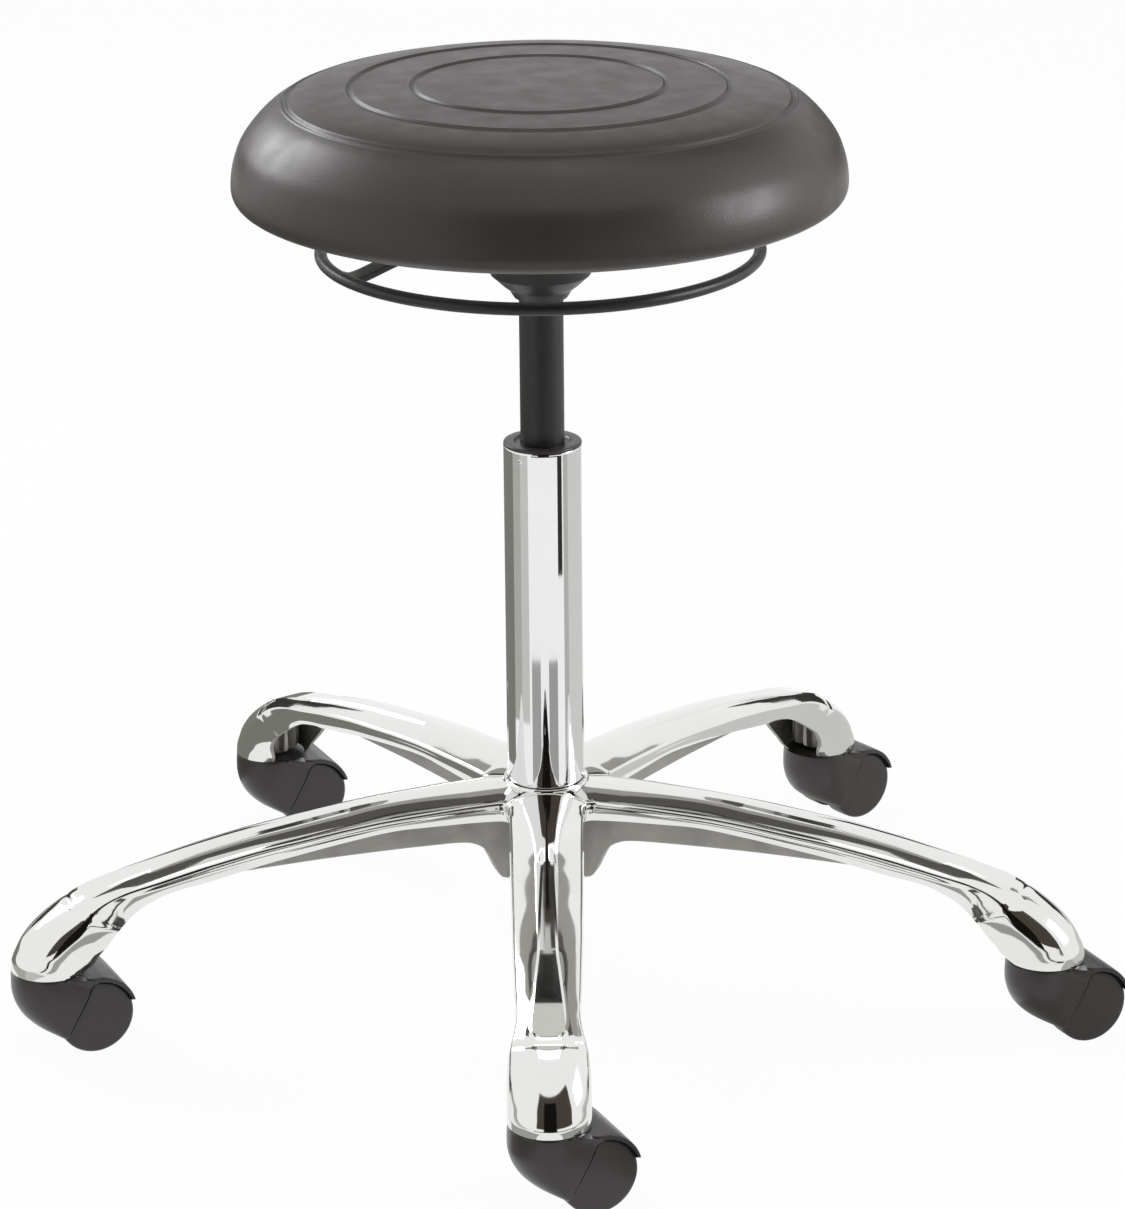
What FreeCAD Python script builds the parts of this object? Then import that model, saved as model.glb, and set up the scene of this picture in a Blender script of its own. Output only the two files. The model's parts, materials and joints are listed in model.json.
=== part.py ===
import FreeCAD, Part
import math
import os

import Sketcher
from FreeCAD import Placement, Rotation, Vector

# Adjustable swivel stool: a five-legged base on twin-wheel casters carries a gas-lift
# column, and the column carries a round moulded seat with a height-release ring below it.
# Millimetres. +Z is up, the floor is at zero, and +Y runs from the front leg to the back.

DRIVING_SIZES = {
    # five-legged base
    "leg_count": 5,
    "first_leg_angle": -90,
    "caster_circle_radius": 332,
    "leg_end_radius": 25,
    "leg_end_height": 55,
    "leg_end_dome": 40,
    "leg_width": 44,
    "leg_neck_width": 39,
    "leg_neck_reach": 290,
    "leg_top_width": 14,
    "leg_shoulder_drop": 6,
    "leg_top_height": 139,
    "leg_bow": 31,
    "leg_bow_start": 80,
    "leg_side_depth": 16,
    "leg_wall": 4,
    "leg_root_reach": 15,
    "leg_web_width": 16,
    "leg_web_bottom": 105,
    "leg_web_reach": 232,
    "hub_bottom": 74,
    "hub_top": 141,
    "hub_top_radius": 27.5,
    "hub_bottom_radius": 30,
    # casters
    "caster_yaw": 25,
    "rear_caster_yaw": 38,
    "stem_radius": 5.5,
    "stem_depth": 24,
    "grip_ring_rise": 8,
    "grip_ring_height": 6,
    "grip_ring_bulge": 1,
    "stem_in_hood": 12,
    "wheel_radius": 25,
    "wheel_width": 17,
    "wheel_face": 2.5,
    "wheel_edge": 1,
    "axle_radius": 3,
    "caster_trail": 22,
    "hood_web_width": 13,
    "hood_rim": 2.5,
    "hood_skin": 1.5,
    "hood_front_reach": 25,
    "hood_front_bottom": 17,
    "hood_chin_reach": 7.5,
    "hood_jaw_reach": 20,
    "hood_jaw_rise": 9,
    "hood_cheek_rise": 24,
    "hood_bend_length": 5,
    "hood_bend_half_width": 20.7,
    "hood_boss": 6,
    "hood_boss_below": 9,
    "hood_window_shift": 5,
    "hood_nose_half_width": 11,
    "hood_nose_length": 17,
    "hood_top_gap": 0.6,
    # gas-lift column
    "column_radius": 25,
    "column_wall": 1.5,
    "column_bottom": 80,
    "column_top": 367,
    "column_floor": 3,
    "crimp_radius": 1.5,
    "crimp_drop": 6,
    "crimp_angle": -125,
    "bushing_flange": 2,
    "bushing_length": 76,
    "bearing_washer": 1.5,
    "bearing_radius": 14,
    "ball_radius": 2,
    "ball_count": 10,
    "ball_circle": 9,
    "cage_inner_radius": 6,
    "cage_outer_radius": 12,
    "cage_height": 2,
    "buffer_radius": 12,
    "buffer_height": 13,
    "clip_thickness": 1.5,
    "clip_radius": 7,
    "clip_groove": 0.8,
    "clip_opening": 5,
    "rod_end_below": 2.7,
    "rod_radius": 5,
    "rod_neck_radius": 4,
    "bushing_dish_width": 3,
    "bushing_dish_depth": 1.4,
    "piston_height": 12,
    "piston_above_seal": 2,
    "piston_seal_height": 3,
    "piston_seal_depth": 2.5,
    "cylinder_radius": 14,
    "cylinder_wall": 1.5,
    "rod_guide_height": 20,
    "rod_seal_height": 5,
    "valve_body_height": 30,
    "valve_chamber": 6,
    "button_radius": 3,
    "button_rise": 4,
    "button_room": 3,
    "button_edge": 1,
    # how the seat stands at rest between its lowest and its highest place
    "lift_down": 90,
    "lift_up": 88,
    "lowest_gap": 4.5,
    # seat
    "seat_hub_height": 53.5,
    "seat_hub_nose_radius": 17,
    "seat_hub_cone_radius": 20,
    "seat_hub_shoulder_radius": 24,
    "seat_hub_body_radius": 31.5,
    "seat_hub_flange_radius": 44,
    "seat_hub_nose": 5,
    "seat_hub_shoulder": 8,
    "seat_hub_body": 15,
    "seat_hub_wall": 6,
    "arm_slot_below": 6.5,
    "arm_slot_above": 5.5,
    "arm_slot_width": 17,
    "fulcrum_reach": 22,
    "fulcrum_width": 3,
    "fulcrum_height": 4,
    "plate_side": 136,
    "plate_corner": 14,
    "plate_thickness": 3,
    "bolt_spacing": 100,
    "bolt_radius": 3,
    "bolt_head_radius": 5,
    "bolt_head_height": 4,
    "washer_radius": 6,
    "washer_thickness": 1.6,
    "tee_nut_radius": 9,
    "tee_nut_barrel": 4.2,
    "tee_nut_flange": 1.5,
    "pan_radius": 150,
    "pan_thickness": 12,
    "seat_radius": 191.8,
    "cushion_height": 80,
    "cushion_rim_height": 67,
    "cushion_shoulder": 46,
    "cushion_lower_edge": 17,
    # height-release ring
    "ring_radius": 137,
    "ring_rod_radius": 4,
    "ring_drop": 26.3,
    "arm_angle": 209,
    "arm_width": 15,
    "arm_thickness": 4,
    "arm_level_reach": 96,
    "arm_drop": 16,
    # clearances
    "running_clearance": 0.05,
    "press_clearance": 0.02,
    "face_clearance": 0.3,
    "wheel_clearance": 0.7,
    "bolt_clearance": 0.3,
    "weld_gap": 0.3,
}

# Cutting shapes stand past a surface by this much, and hollows are cut this deep below a leg.
OVERCUT = 1
HOLLOW_DEPTH = 40
LEG_SECTIONS = 7

doc = FreeCAD.newDocument("adjustable_swivel_stool")
sheet = doc.addObject("Spreadsheet::Sheet", "sizes")
for row, (alias, number) in enumerate(DRIVING_SIZES.items(), start=1):
    sheet.set("A%d" % row, alias.replace("_", " "))
    sheet.set("B%d" % row, str(number))
    sheet.setAlias("B%d" % row, alias)
doc.recompute()


class Size:
    """A size with its number now and the expression that ties it to the sheet."""

    def __init__(self, number, words):
        self.number = float(number)
        self.words = words

    def __add__(self, other):
        other = as_size(other)
        return Size(self.number + other.number, "(%s + %s)" % (self.words, other.words))

    def __sub__(self, other):
        other = as_size(other)
        return Size(self.number - other.number, "(%s - %s)" % (self.words, other.words))

    def __mul__(self, other):
        other = as_size(other)
        return Size(self.number * other.number, "(%s * %s)" % (self.words, other.words))

    def __truediv__(self, other):
        other = as_size(other)
        return Size(self.number / other.number, "(%s / %s)" % (self.words, other.words))

    def __neg__(self):
        return Size(-self.number, "(0 - %s)" % self.words)


def as_size(amount):
    if isinstance(amount, Size):
        return amount
    return Size(amount, repr(float(amount)))


def size(alias):
    """The sheet's size of that name."""
    return Size(sheet.get(alias), "sizes.%s" % alias)


def cosine(angle):
    return Size(math.cos(math.radians(angle.number)), "cos(%s * 1 deg)" % angle.words)


def sine(angle):
    return Size(math.sin(math.radians(angle.number)), "sin(%s * 1 deg)" % angle.words)


ZERO = as_size(0)
FULL_TURN = 360
SUBPARTS = []


# ---- helpers that make one kind of piece each ----

def bind(target, prop, amount):
    """Tie a property of an object to the sheet."""
    target.setExpression(prop, as_size(amount).words)


def place(piece, x=ZERO, y=ZERO, z=ZERO, turn=ZERO):
    """Stand a piece at a place, turned about the vertical, all tied to the sheet."""
    where = [as_size(amount) for amount in (x, y, z, turn)]
    position = Vector(where[0].number, where[1].number, where[2].number)
    piece.Placement = Placement(position, Rotation(Vector(0, 0, 1), where[3].number))
    bind(piece, "Placement.Base.x", where[0])
    bind(piece, "Placement.Base.y", where[1])
    bind(piece, "Placement.Base.z", where[2])
    if where[3].words != ZERO.words:
        bind(piece, "Placement.Rotation.Angle", where[3])
    return piece


def named(piece, label):
    """Give a finished sub-part its node name and list it for export."""
    piece.Label = label
    SUBPARTS.append(piece)
    return piece


def origin_plane(body, role):
    return next(plane for plane in body.Origin.OriginFeatures if plane.Role == role)


def tie_corner(sketch, line, corner):
    """Hold the start of a line at its distances from the sketch's origin."""
    for kind, amount in (("DistanceX", corner[0]), ("DistanceY", corner[1])):
        held = Sketcher.Constraint(kind, -1, 1, line, 1, amount.number)
        number = sketch.addConstraint(held)
        sketch.setExpression("Constraints[%d]" % number, amount.words)


def outline(body, name, role, corners, lift=None):
    """A closed sketch of straight edges through the corners, on an origin plane."""
    sketch = body.newObject("Sketcher::SketchObject", name)
    sketch.AttachmentSupport = (origin_plane(body, role), [""])
    sketch.MapMode = "FlatFace"
    if lift is not None:
        sketch.AttachmentOffset = Placement(Vector(0, 0, lift.number), Rotation())
        bind(sketch, "AttachmentOffset.Base.z", lift)
    corners = [(as_size(across), as_size(up)) for across, up in corners]
    points = [Vector(across.number, up.number, 0) for across, up in corners]
    count = len(points)
    for line in range(count):
        sketch.addGeometry(Part.LineSegment(points[line], points[(line + 1) % count]))
    for line in range(count):
        sketch.addConstraint(Sketcher.Constraint("Coincident", line, 2, (line + 1) % count, 1))
    for line, corner in enumerate(corners):
        tie_corner(sketch, line, corner)
    return sketch


def revolved(name, corners):
    """A body turned about the vertical from an outline of radius and height."""
    body = doc.addObject("PartDesign::Body", name)
    sketch = outline(body, name + "_outline", "XZ_Plane", corners)
    turned = body.newObject("PartDesign::Revolution", name + "_turned")
    turned.Profile = sketch
    turned.ReferenceAxis = (sketch, ["V_Axis"])
    turned.Angle = FULL_TURN
    body.Tip = turned
    return body


def tube(name, inner, outer, height):
    """A plain ring or tube standing on its own origin."""
    return revolved(name, [(inner, 0), (outer, 0), (outer, height), (inner, height)])


def padded(body, name, role, corners, length, both_ways=False, lift=None, reverse=False):
    """Add straight thickness to an outline."""
    pad = body.newObject("PartDesign::Pad", name)
    pad.Profile = outline(body, name + "_outline", role, corners, lift)
    pad.Length = length.number
    bind(pad, "Length", length)
    pad.Midplane = both_ways
    pad.Reversed = reverse
    body.Tip = pad
    return pad


def cylinder(name, radius, height):
    shape = doc.addObject("Part::Cylinder", name)
    bind(shape, "Radius", radius)
    bind(shape, "Height", height)
    return shape


def grouped(label, pieces):
    """One node that holds several equal, separate solids."""
    group = doc.addObject("Part::Compound", label)
    group.Links = pieces
    return named(group, label)


# ---- places that several pieces share ----

grip_ring_bottom = size("leg_end_height") + size("grip_ring_rise")
grip_ring_radius = size("stem_radius") + size("grip_ring_bulge")
bearing_base = size("column_bottom") + size("column_floor")
ball_rest = bearing_base + size("bearing_washer") + size("running_clearance")
upper_washer_base = ball_rest + size("ball_radius") * 2 + size("face_clearance")
buffer_base = upper_washer_base + size("bearing_washer")
clip_base = size("column_bottom") - size("face_clearance") - size("clip_thickness")
rod_bottom = clip_base - size("rod_end_below")
cylinder_bottom = buffer_base + size("buffer_height") + size("lift_down") + size("face_clearance")
seal_base = cylinder_bottom + size("rod_guide_height")
piston_bottom = seal_base + size("rod_seal_height") + size("lift_up") + size("piston_above_seal")
piston_groove = piston_bottom + (size("piston_height") - size("piston_seal_height")) / 2
bushing_top = size("column_top") + size("bushing_flange")
seat_hub_bottom = bushing_top + size("lowest_gap") + size("lift_down")
plate_bottom = seat_hub_bottom + size("seat_hub_height")
seat_underside = plate_bottom + size("plate_thickness")
ring_height = seat_underside - size("ring_drop")
arm_bottom = seat_underside - size("arm_drop") - size("arm_thickness")
arm_top = arm_bottom + size("arm_thickness")
button_top = arm_bottom - size("face_clearance")
cylinder_top = button_top - size("button_rise")
valve_base = cylinder_top - size("valve_body_height")
button_base = valve_base + size("valve_chamber") + size("button_room")
cylinder_bore = size("cylinder_radius") - size("cylinder_wall")
column_bore = size("column_radius") - size("column_wall")
axle_height = size("wheel_radius")
wheel_inner_face = size("hood_web_width") / 2 + size("wheel_clearance")
wheel_outer_face = wheel_inner_face + size("wheel_width")
hood_skin_inside = wheel_outer_face + size("wheel_clearance")
hood_width = (hood_skin_inside + size("hood_skin")) * 2
hood_top = size("leg_end_height") - size("hood_top_gap")


# ---- the five-legged base ----

def leg_top(reach):
    """Height of the leg's top face at a distance from the column's axis."""
    start = size("leg_bow_start").number
    span = size("leg_neck_reach").number - start
    share = max(0.0, (reach - start) / span)
    return size("leg_top_height").number - size("leg_bow").number * share ** 2


def leg_half_width(reach):
    """Half the leg's width: full at the hub and slimmer towards the neck."""
    full = size("leg_width").number / 2
    neck = size("leg_neck_width").number / 2
    share = min(1.0, reach / size("leg_neck_reach").number)
    return full + (neck - full) * share


def leg_wire(reach, inset, bottom):
    """The leg's cross-section: narrow top face, sloped shoulders and side walls."""
    half = leg_half_width(reach) - inset
    top = leg_top(reach) - inset
    half_top = size("leg_top_width").number / 2
    shoulder = top - size("leg_shoulder_drop").number
    corners = [(-half, bottom), (half, bottom), (half, shoulder)]
    corners += [(half_top, top), (-half_top, top), (-half, shoulder)]
    points = [Vector(reach, across, up) for across, up in corners]
    return Part.makePolygon(points + points[:1])


def leg_beam(inset, extra_depth, end):
    """The leg's arched beam, or with an inset the hollow under it."""
    depth = size("leg_side_depth").number
    sections = []
    start = size("leg_root_reach").number
    for step in range(LEG_SECTIONS):
        reach = start + (end - start) * step / (LEG_SECTIONS - 1)
        bottom = leg_top(reach) - depth - extra_depth
        sections.append(leg_wire(reach, inset, bottom))
    return Part.makeLoft(sections, True, False)


def leg_end_dome(radius, rise):
    """The rounded cap over a caster: a quarter ellipse turned about the stem's axis."""
    ellipse = Part.Ellipse(Vector(0, 0, rise), Vector(radius, 0, 0), Vector(0, 0, 0))
    arc = Part.ArcOfEllipse(ellipse, 0, math.pi / 2).toShape()
    down = Part.makeLine(Vector(0, 0, 0), Vector(0, 0, rise))
    across = Part.makeLine(Vector(0, 0, 0), Vector(radius, 0, 0))
    face = Part.Face(Part.Wire(Part.__sortEdges__([arc, down, across])))
    return face.revolve(Vector(0, 0, 0), Vector(0, 0, 1), FULL_TURN)


def leg_shape():
    """One leg along +X: beam, domed end, web under the beam and caster socket."""
    circle = size("caster_circle_radius").number
    end_radius = size("leg_end_radius").number
    rim = size("leg_end_height").number
    wall = size("leg_wall").number
    beam = leg_beam(0, 0, circle)
    hollow = leg_beam(wall, HOLLOW_DEPTH, circle - end_radius)
    end = leg_end_dome(end_radius, size("leg_end_dome").number)
    end.translate(Vector(circle, 0, rim))
    web_height = size("leg_top_height").number - wall - size("leg_web_bottom").number
    web_width = size("leg_web_width").number
    web_start = size("column_radius").number + wall
    web = Part.makeBox(size("leg_web_reach").number - web_start, web_width, web_height,
                       Vector(web_start, -web_width / 2, size("leg_web_bottom").number))
    web = web.common(leg_beam(wall / 2, HOLLOW_DEPTH, circle - end_radius))
    shell = beam.cut(hollow).fuse([end, web])
    socket = Part.makeCylinder(size("stem_radius").number + size("running_clearance").number,
                               size("stem_depth").number + OVERCUT,
                               Vector(circle, 0, rim - OVERCUT))
    ring_room = Part.makeCylinder(grip_ring_radius.number + size("press_clearance").number,
                                  size("grip_ring_height").number + size("press_clearance").number,
                                  Vector(circle, 0, grip_ring_bottom.number))
    return shell.cut([socket, ring_room])


def star_base():
    """Hub with a bored seat for the column, and the legs fused around it."""
    bottom = size("hub_bottom").number
    top = size("hub_top").number
    hub = Part.makeCone(size("hub_bottom_radius").number, size("hub_top_radius").number,
                        top - bottom, Vector(0, 0, bottom))
    legs = []
    leg = leg_shape()
    count = int(size("leg_count").number)
    for number in range(count):
        turned = leg.copy()
        angle = size("first_leg_angle").number + FULL_TURN * number / count
        turned.rotate(Vector(0, 0, 0), Vector(0, 0, 1), angle)
        legs.append(turned)
    body = hub.fuse(legs)
    bore = Part.makeCylinder(size("column_radius").number + size("press_clearance").number,
                             top - bottom + OVERCUT * 2, Vector(0, 0, bottom - OVERCUT))
    cast = body.cut(bore).removeSplitter()
    piece = doc.addObject("Part::Feature", "star_base")
    piece.Shape = cast
    piece.Placement = Placement()
    return named(piece, "star_base")


# ---- casters ----

def caster_place(number):
    """Where a caster's stem stands, and which way the caster trails."""
    angle = size("first_leg_angle") + as_size(FULL_TURN * number) / size("leg_count")
    circle = size("caster_circle_radius")
    yaw = size("rear_caster_yaw") if number == REAR_CASTER else size("caster_yaw")
    return circle * cosine(angle), circle * sine(angle), yaw


REAR_CASTER = 2
FENDER_ANGLES = (70, 50, 30, 15)


def well(body, name, near, deep, shift, reverse):
    """Cut a round room for a wheel into one side of the hood."""
    sketch = body.newObject("Sketcher::SketchObject", name + "_outline")
    sketch.AttachmentSupport = (origin_plane(body, "XZ_Plane"), [""])
    sketch.MapMode = "FlatFace"
    lift = near if reverse else -near
    sketch.AttachmentOffset = Placement(Vector(0, 0, lift.number), Rotation())
    bind(sketch, "AttachmentOffset.Base.z", lift)
    across = size("caster_trail") + shift
    up = axle_height - shift
    radius = size("wheel_radius") + size("wheel_clearance")
    sketch.addGeometry(Part.Circle(Vector(across.number, up.number, 0), Vector(0, 0, 1), radius.number))
    held = (("DistanceX", -1, 1, 0, 3, across), ("DistanceY", -1, 1, 0, 3, up))
    for kind, one, one_end, two, two_end, amount in held:
        number = sketch.addConstraint(
            Sketcher.Constraint(kind, one, one_end, two, two_end, amount.number))
        sketch.setExpression("Constraints[%d]" % number, amount.words)
    number = sketch.addConstraint(Sketcher.Constraint("Radius", 0, radius.number))
    sketch.setExpression("Constraints[%d]" % number, radius.words)
    pocket = body.newObject("PartDesign::Pocket", name)
    pocket.Profile = sketch
    pocket.Length = deep.number
    bind(pocket, "Length", deep)
    pocket.Reversed = reverse
    body.Tip = pocket
    return pocket


def caster_hood(name):
    """The hood: a nose under the leg, a fender over both wheels and a web between them."""
    body = doc.addObject("PartDesign::Body", name + "_side")
    trail = size("caster_trail")
    front = size("hood_front_reach")
    bottom = size("hood_front_bottom")
    fender = size("wheel_radius") + size("wheel_clearance") + size("hood_rim")
    corners = [(-size("hood_chin_reach"), bottom),
               (-size("hood_jaw_reach"), bottom + size("hood_jaw_rise")),
               (-front, bottom + size("hood_cheek_rise"))]
    corners += [(-front, hood_top), (trail, hood_top)]
    for angle in FENDER_ANGLES:
        turn = as_size(angle)
        corners.append((trail + fender * cosine(turn), axle_height + fender * sine(turn)))
    boss = size("hood_boss")
    corners += [(trail + boss, axle_height - boss),
                (trail - boss, axle_height - size("hood_boss_below"))]
    padded(body, name + "_block", "XZ_Plane", corners, hood_width, both_ways=True)
    web = size("hood_web_width") / 2
    through = size("hood_skin") + OVERCUT
    for side, reverse in (("left", False), ("right", True)):
        well(body, "%s_%s_well" % (name, side), web, hood_skin_inside - web, ZERO, reverse)
        well(body, "%s_%s_window" % (name, side), hood_skin_inside - size("wheel_clearance"),
             through + size("wheel_clearance"), size("hood_window_shift"), reverse)
    plan = doc.addObject("PartDesign::Body", name + "_plan")
    nose = size("hood_nose_half_width")
    middle = size("hood_bend_half_width")
    widest = hood_width / 2
    cheek = size("hood_nose_length") - front
    bend = size("hood_bend_length") - front
    rear = trail + fender + OVERCUT
    padded(plan, name + "_plan_block", "XY_Plane",
           [(-front, -nose), (bend, -middle), (cheek, -widest), (rear, -widest),
            (rear, widest), (cheek, widest), (bend, middle), (-front, nose)],
           size("leg_end_height"))
    hood = doc.addObject("Part::Common", name)
    hood.Base = body
    hood.Tool = plan
    return hood


def caster(number):
    """One caster: stem and grip ring in the leg, hood, axle and two wheels."""
    x, y, yaw = caster_place(number)
    name = "caster_%d" % (number + 1)
    rim = size("leg_end_height")
    groove = size("stem_radius") - size("grip_ring_bulge")
    low = hood_top - size("stem_in_hood")
    ring_low = grip_ring_bottom - low
    ring_high = ring_low + size("grip_ring_height")
    stem_top = rim + size("stem_depth") - low - size("face_clearance")
    stem = revolved(name + "_stem", [
        (0, 0), (size("stem_radius"), 0), (size("stem_radius"), ring_low), (groove, ring_low),
        (groove, ring_high), (size("stem_radius"), ring_high), (size("stem_radius"), stem_top),
        (0, stem_top)])
    named(place(stem, x, y, low), name + "_stem")
    ring = tube(name + "_grip_ring", groove + size("press_clearance"), grip_ring_radius,
                size("grip_ring_height") - size("press_clearance"))
    named(place(ring, x, y, grip_ring_bottom + size("press_clearance") / 2), name + "_grip_ring")

    block = place(caster_hood(name + "_hood_block"), x, y, ZERO, yaw)
    bore = cylinder(name + "_stem_bore", size("stem_radius") + size("running_clearance"),
                    size("stem_in_hood") + OVERCUT)
    place(bore, x, y, low - size("running_clearance"))
    trail = size("caster_trail")
    axle_x = x + trail * cosine(yaw)
    axle_y = y + trail * sine(yaw)
    axle_hole = sideways(name + "_axle_hole", size("axle_radius") + size("press_clearance"),
                         hood_width, axle_x, axle_y, yaw)
    hood = doc.addObject("Part::Cut", name + "_hood")
    hood.Base = block
    hood.Tool = grouped_tools(name + "_hood_holes", [bore, axle_hole])
    named(hood, name + "_hood")
    axle_length = (wheel_outer_face - size("wheel_face") - size("face_clearance")) * 2
    named(sideways(name + "_axle", size("axle_radius"), axle_length, axle_x, axle_y, yaw),
          name + "_axle")
    for side, direction in (("left", 1), ("right", -1)):
        named(wheel("%s_wheel_%s" % (name, side), direction, axle_x, axle_y, yaw),
              "%s_wheel_%s" % (name, side))


def sideways(name, radius, length, x, y, yaw):
    """A plain bar lying along the caster's axle line, centred on the caster."""
    body = revolved_across(name, [(0, -length / 2), (radius, -length / 2),
                                  (radius, length / 2), (0, length / 2)])
    return place(body, x, y, axle_height, yaw)


def revolved_across(name, corners):
    """A body turned about the axle line from an outline of radius and distance along it."""
    body = doc.addObject("PartDesign::Body", name)
    turned_sketch = outline(body, name + "_outline", "XY_Plane", corners)
    turned = body.newObject("PartDesign::Revolution", name + "_turned")
    turned.Profile = turned_sketch
    turned.ReferenceAxis = (turned_sketch, ["V_Axis"])
    turned.Angle = FULL_TURN
    body.Tip = turned
    return body


def wheel(name, direction, x, y, yaw):
    """A wheel with a closed outer face and a blind bore on the axle."""
    bore = size("axle_radius") + size("running_clearance")
    edge = size("wheel_edge")
    radius = size("wheel_radius")
    inner = wheel_inner_face * direction
    outer = wheel_outer_face * direction
    bore_end = (wheel_outer_face - size("wheel_face")) * direction
    step = edge * direction
    body = revolved_across(name, [
        (0, bore_end), (0, outer), (radius - edge, outer), (radius, outer - step),
        (radius, inner + step), (radius - edge, inner), (bore, inner), (bore, bore_end)])
    return place(body, x, y, axle_height, yaw)


def grouped_tools(name, pieces):
    """Cutting shapes held together, not a node of their own."""
    tools = doc.addObject("Part::Compound", name)
    tools.Links = pieces
    return tools


# ---- gas-lift column ----

def outer_column():
    """The plated tube with its floor and the crimp that holds the bushing."""
    height = size("column_top") - size("column_bottom")
    floor = size("column_floor")
    hole = size("rod_neck_radius") + size("running_clearance")
    tube_body = revolved("column_tube", [
        (hole, 0), (size("column_radius"), 0), (size("column_radius"), height),
        (column_bore, height), (column_bore, floor), (hole, floor)])
    place(tube_body, z=size("column_bottom"))
    drill_body = doc.addObject("PartDesign::Body", "crimp_drill")
    reach = size("crimp_radius")
    start = size("column_radius") - size("column_wall") * 2
    padded(drill_body, "crimp", "YZ_Plane",
           [(-reach, 0), (0, -reach), (reach, 0), (0, reach)], size("column_wall") * 3, lift=start)
    place(drill_body, z=size("column_top") - size("crimp_drop"), turn=size("crimp_angle"))
    cut = doc.addObject("Part::Cut", "outer_column")
    cut.Base = tube_body
    cut.Tool = drill_body
    return named(cut, "outer_column")


def guide_bushing():
    """The black sleeve that guides the gas cylinder, with its thin top flange."""
    bore = size("cylinder_radius") + size("running_clearance")
    body_radius = column_bore - size("press_clearance")
    length = size("bushing_length")
    top = length + size("bushing_flange")
    dish = bore + size("bushing_dish_width")
    low = top - size("bushing_dish_depth")
    body = revolved("guide_bushing_turned", [
        (bore, 0), (body_radius, 0), (body_radius, length), (size("column_radius"), length),
        (size("column_radius"), top), (dish, top), (dish, low), (bore, low)])
    return named(place(body, z=size("column_top") - length), "guide_bushing")


def thrust_bearing():
    """Two washers, a cage and its balls, which let the lift turn on the column's floor."""
    washer = size("bearing_washer")
    running = size("rod_neck_radius") + size("running_clearance")
    pressed = size("rod_neck_radius") + size("press_clearance")
    lower = tube("lower_washer", running, size("bearing_radius"), washer)
    named(place(lower, z=bearing_base), "lower_bearing_washer")
    upper = tube("upper_washer", pressed, size("bearing_radius"), washer)
    named(place(upper, z=upper_washer_base), "upper_bearing_washer")
    middle = ball_rest + size("ball_radius")
    balls = []
    rooms = []
    for number in range(int(size("ball_count").number)):
        turn = as_size(FULL_TURN * number) / size("ball_count")
        x = size("ball_circle") * cosine(turn)
        y = size("ball_circle") * sine(turn)
        ball = doc.addObject("Part::Sphere", "ball_%d" % (number + 1))
        bind(ball, "Radius", size("ball_radius"))
        balls.append(place(ball, x, y, middle))
        room = cylinder("ball_room_%d" % (number + 1),
                        size("ball_radius") + size("running_clearance"), size("cage_height") * 2)
        rooms.append(place(room, x, y, middle - size("cage_height")))
    grouped("bearing_balls", balls)
    ring = tube("cage_ring", size("cage_inner_radius"), size("cage_outer_radius"),
                size("cage_height"))
    place(ring, z=middle - size("cage_height") / 2)
    cage = doc.addObject("Part::Cut", "bearing_cage")
    cage.Base = ring
    cage.Tool = grouped_tools("cage_rooms", rooms)
    named(cage, "bearing_cage")


def lift_rod():
    """Piston rod, its piston and seal, the rubber buffer and the retaining clip."""
    neck = size("rod_neck_radius")
    rod = size("rod_radius")
    groove = neck - size("clip_groove")
    clip_low = clip_base - rod_bottom
    clip_high = clip_low + size("clip_thickness")
    shoulder = buffer_base - rod_bottom
    top_shoulder = piston_bottom - rod_bottom
    top = top_shoulder + size("piston_height")
    body = revolved("rod_turned", [
        (0, 0), (neck, 0), (neck, clip_low), (groove, clip_low), (groove, clip_high),
        (neck, clip_high), (neck, shoulder), (rod, shoulder), (rod, top_shoulder),
        (neck, top_shoulder), (neck, top), (0, top)])
    named(place(body, z=rod_bottom), "piston_rod")

    fit = size("press_clearance")
    bore = neck + fit
    outer = cylinder_bore - size("running_clearance")
    depth = outer - size("piston_seal_depth")
    low = piston_groove - piston_bottom
    high = low + size("piston_seal_height")
    piston = revolved("piston_turned", [
        (bore, 0), (outer, 0), (outer, low), (depth, low), (depth, high), (outer, high),
        (outer, size("piston_height")), (bore, size("piston_height"))])
    named(place(piston, z=piston_bottom), "piston")
    seal = tube("seal_ring", depth + fit, outer, size("piston_seal_height") - fit * 2)
    named(place(seal, z=piston_groove + fit), "piston_seal")

    buffer_ring = tube("buffer_ring", rod + size("running_clearance"), size("buffer_radius"),
                       size("buffer_height"))
    named(place(buffer_ring, z=buffer_base), "rubber_buffer")

    ring = tube("clip_ring", groove + fit, size("clip_radius"), size("clip_thickness") - fit * 2)
    place(ring, z=clip_base + fit)
    gap = doc.addObject("Part::Box", "clip_gap")
    bind(gap, "Length", size("clip_radius") * 2)
    bind(gap, "Width", size("clip_opening"))
    bind(gap, "Height", size("clip_thickness") * 3)
    place(gap, ZERO, -size("clip_opening") / 2, clip_base - size("clip_thickness"))
    clip = doc.addObject("Part::Cut", "retaining_clip")
    clip.Base = ring
    clip.Tool = gap
    named(clip, "retaining_clip")


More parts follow.
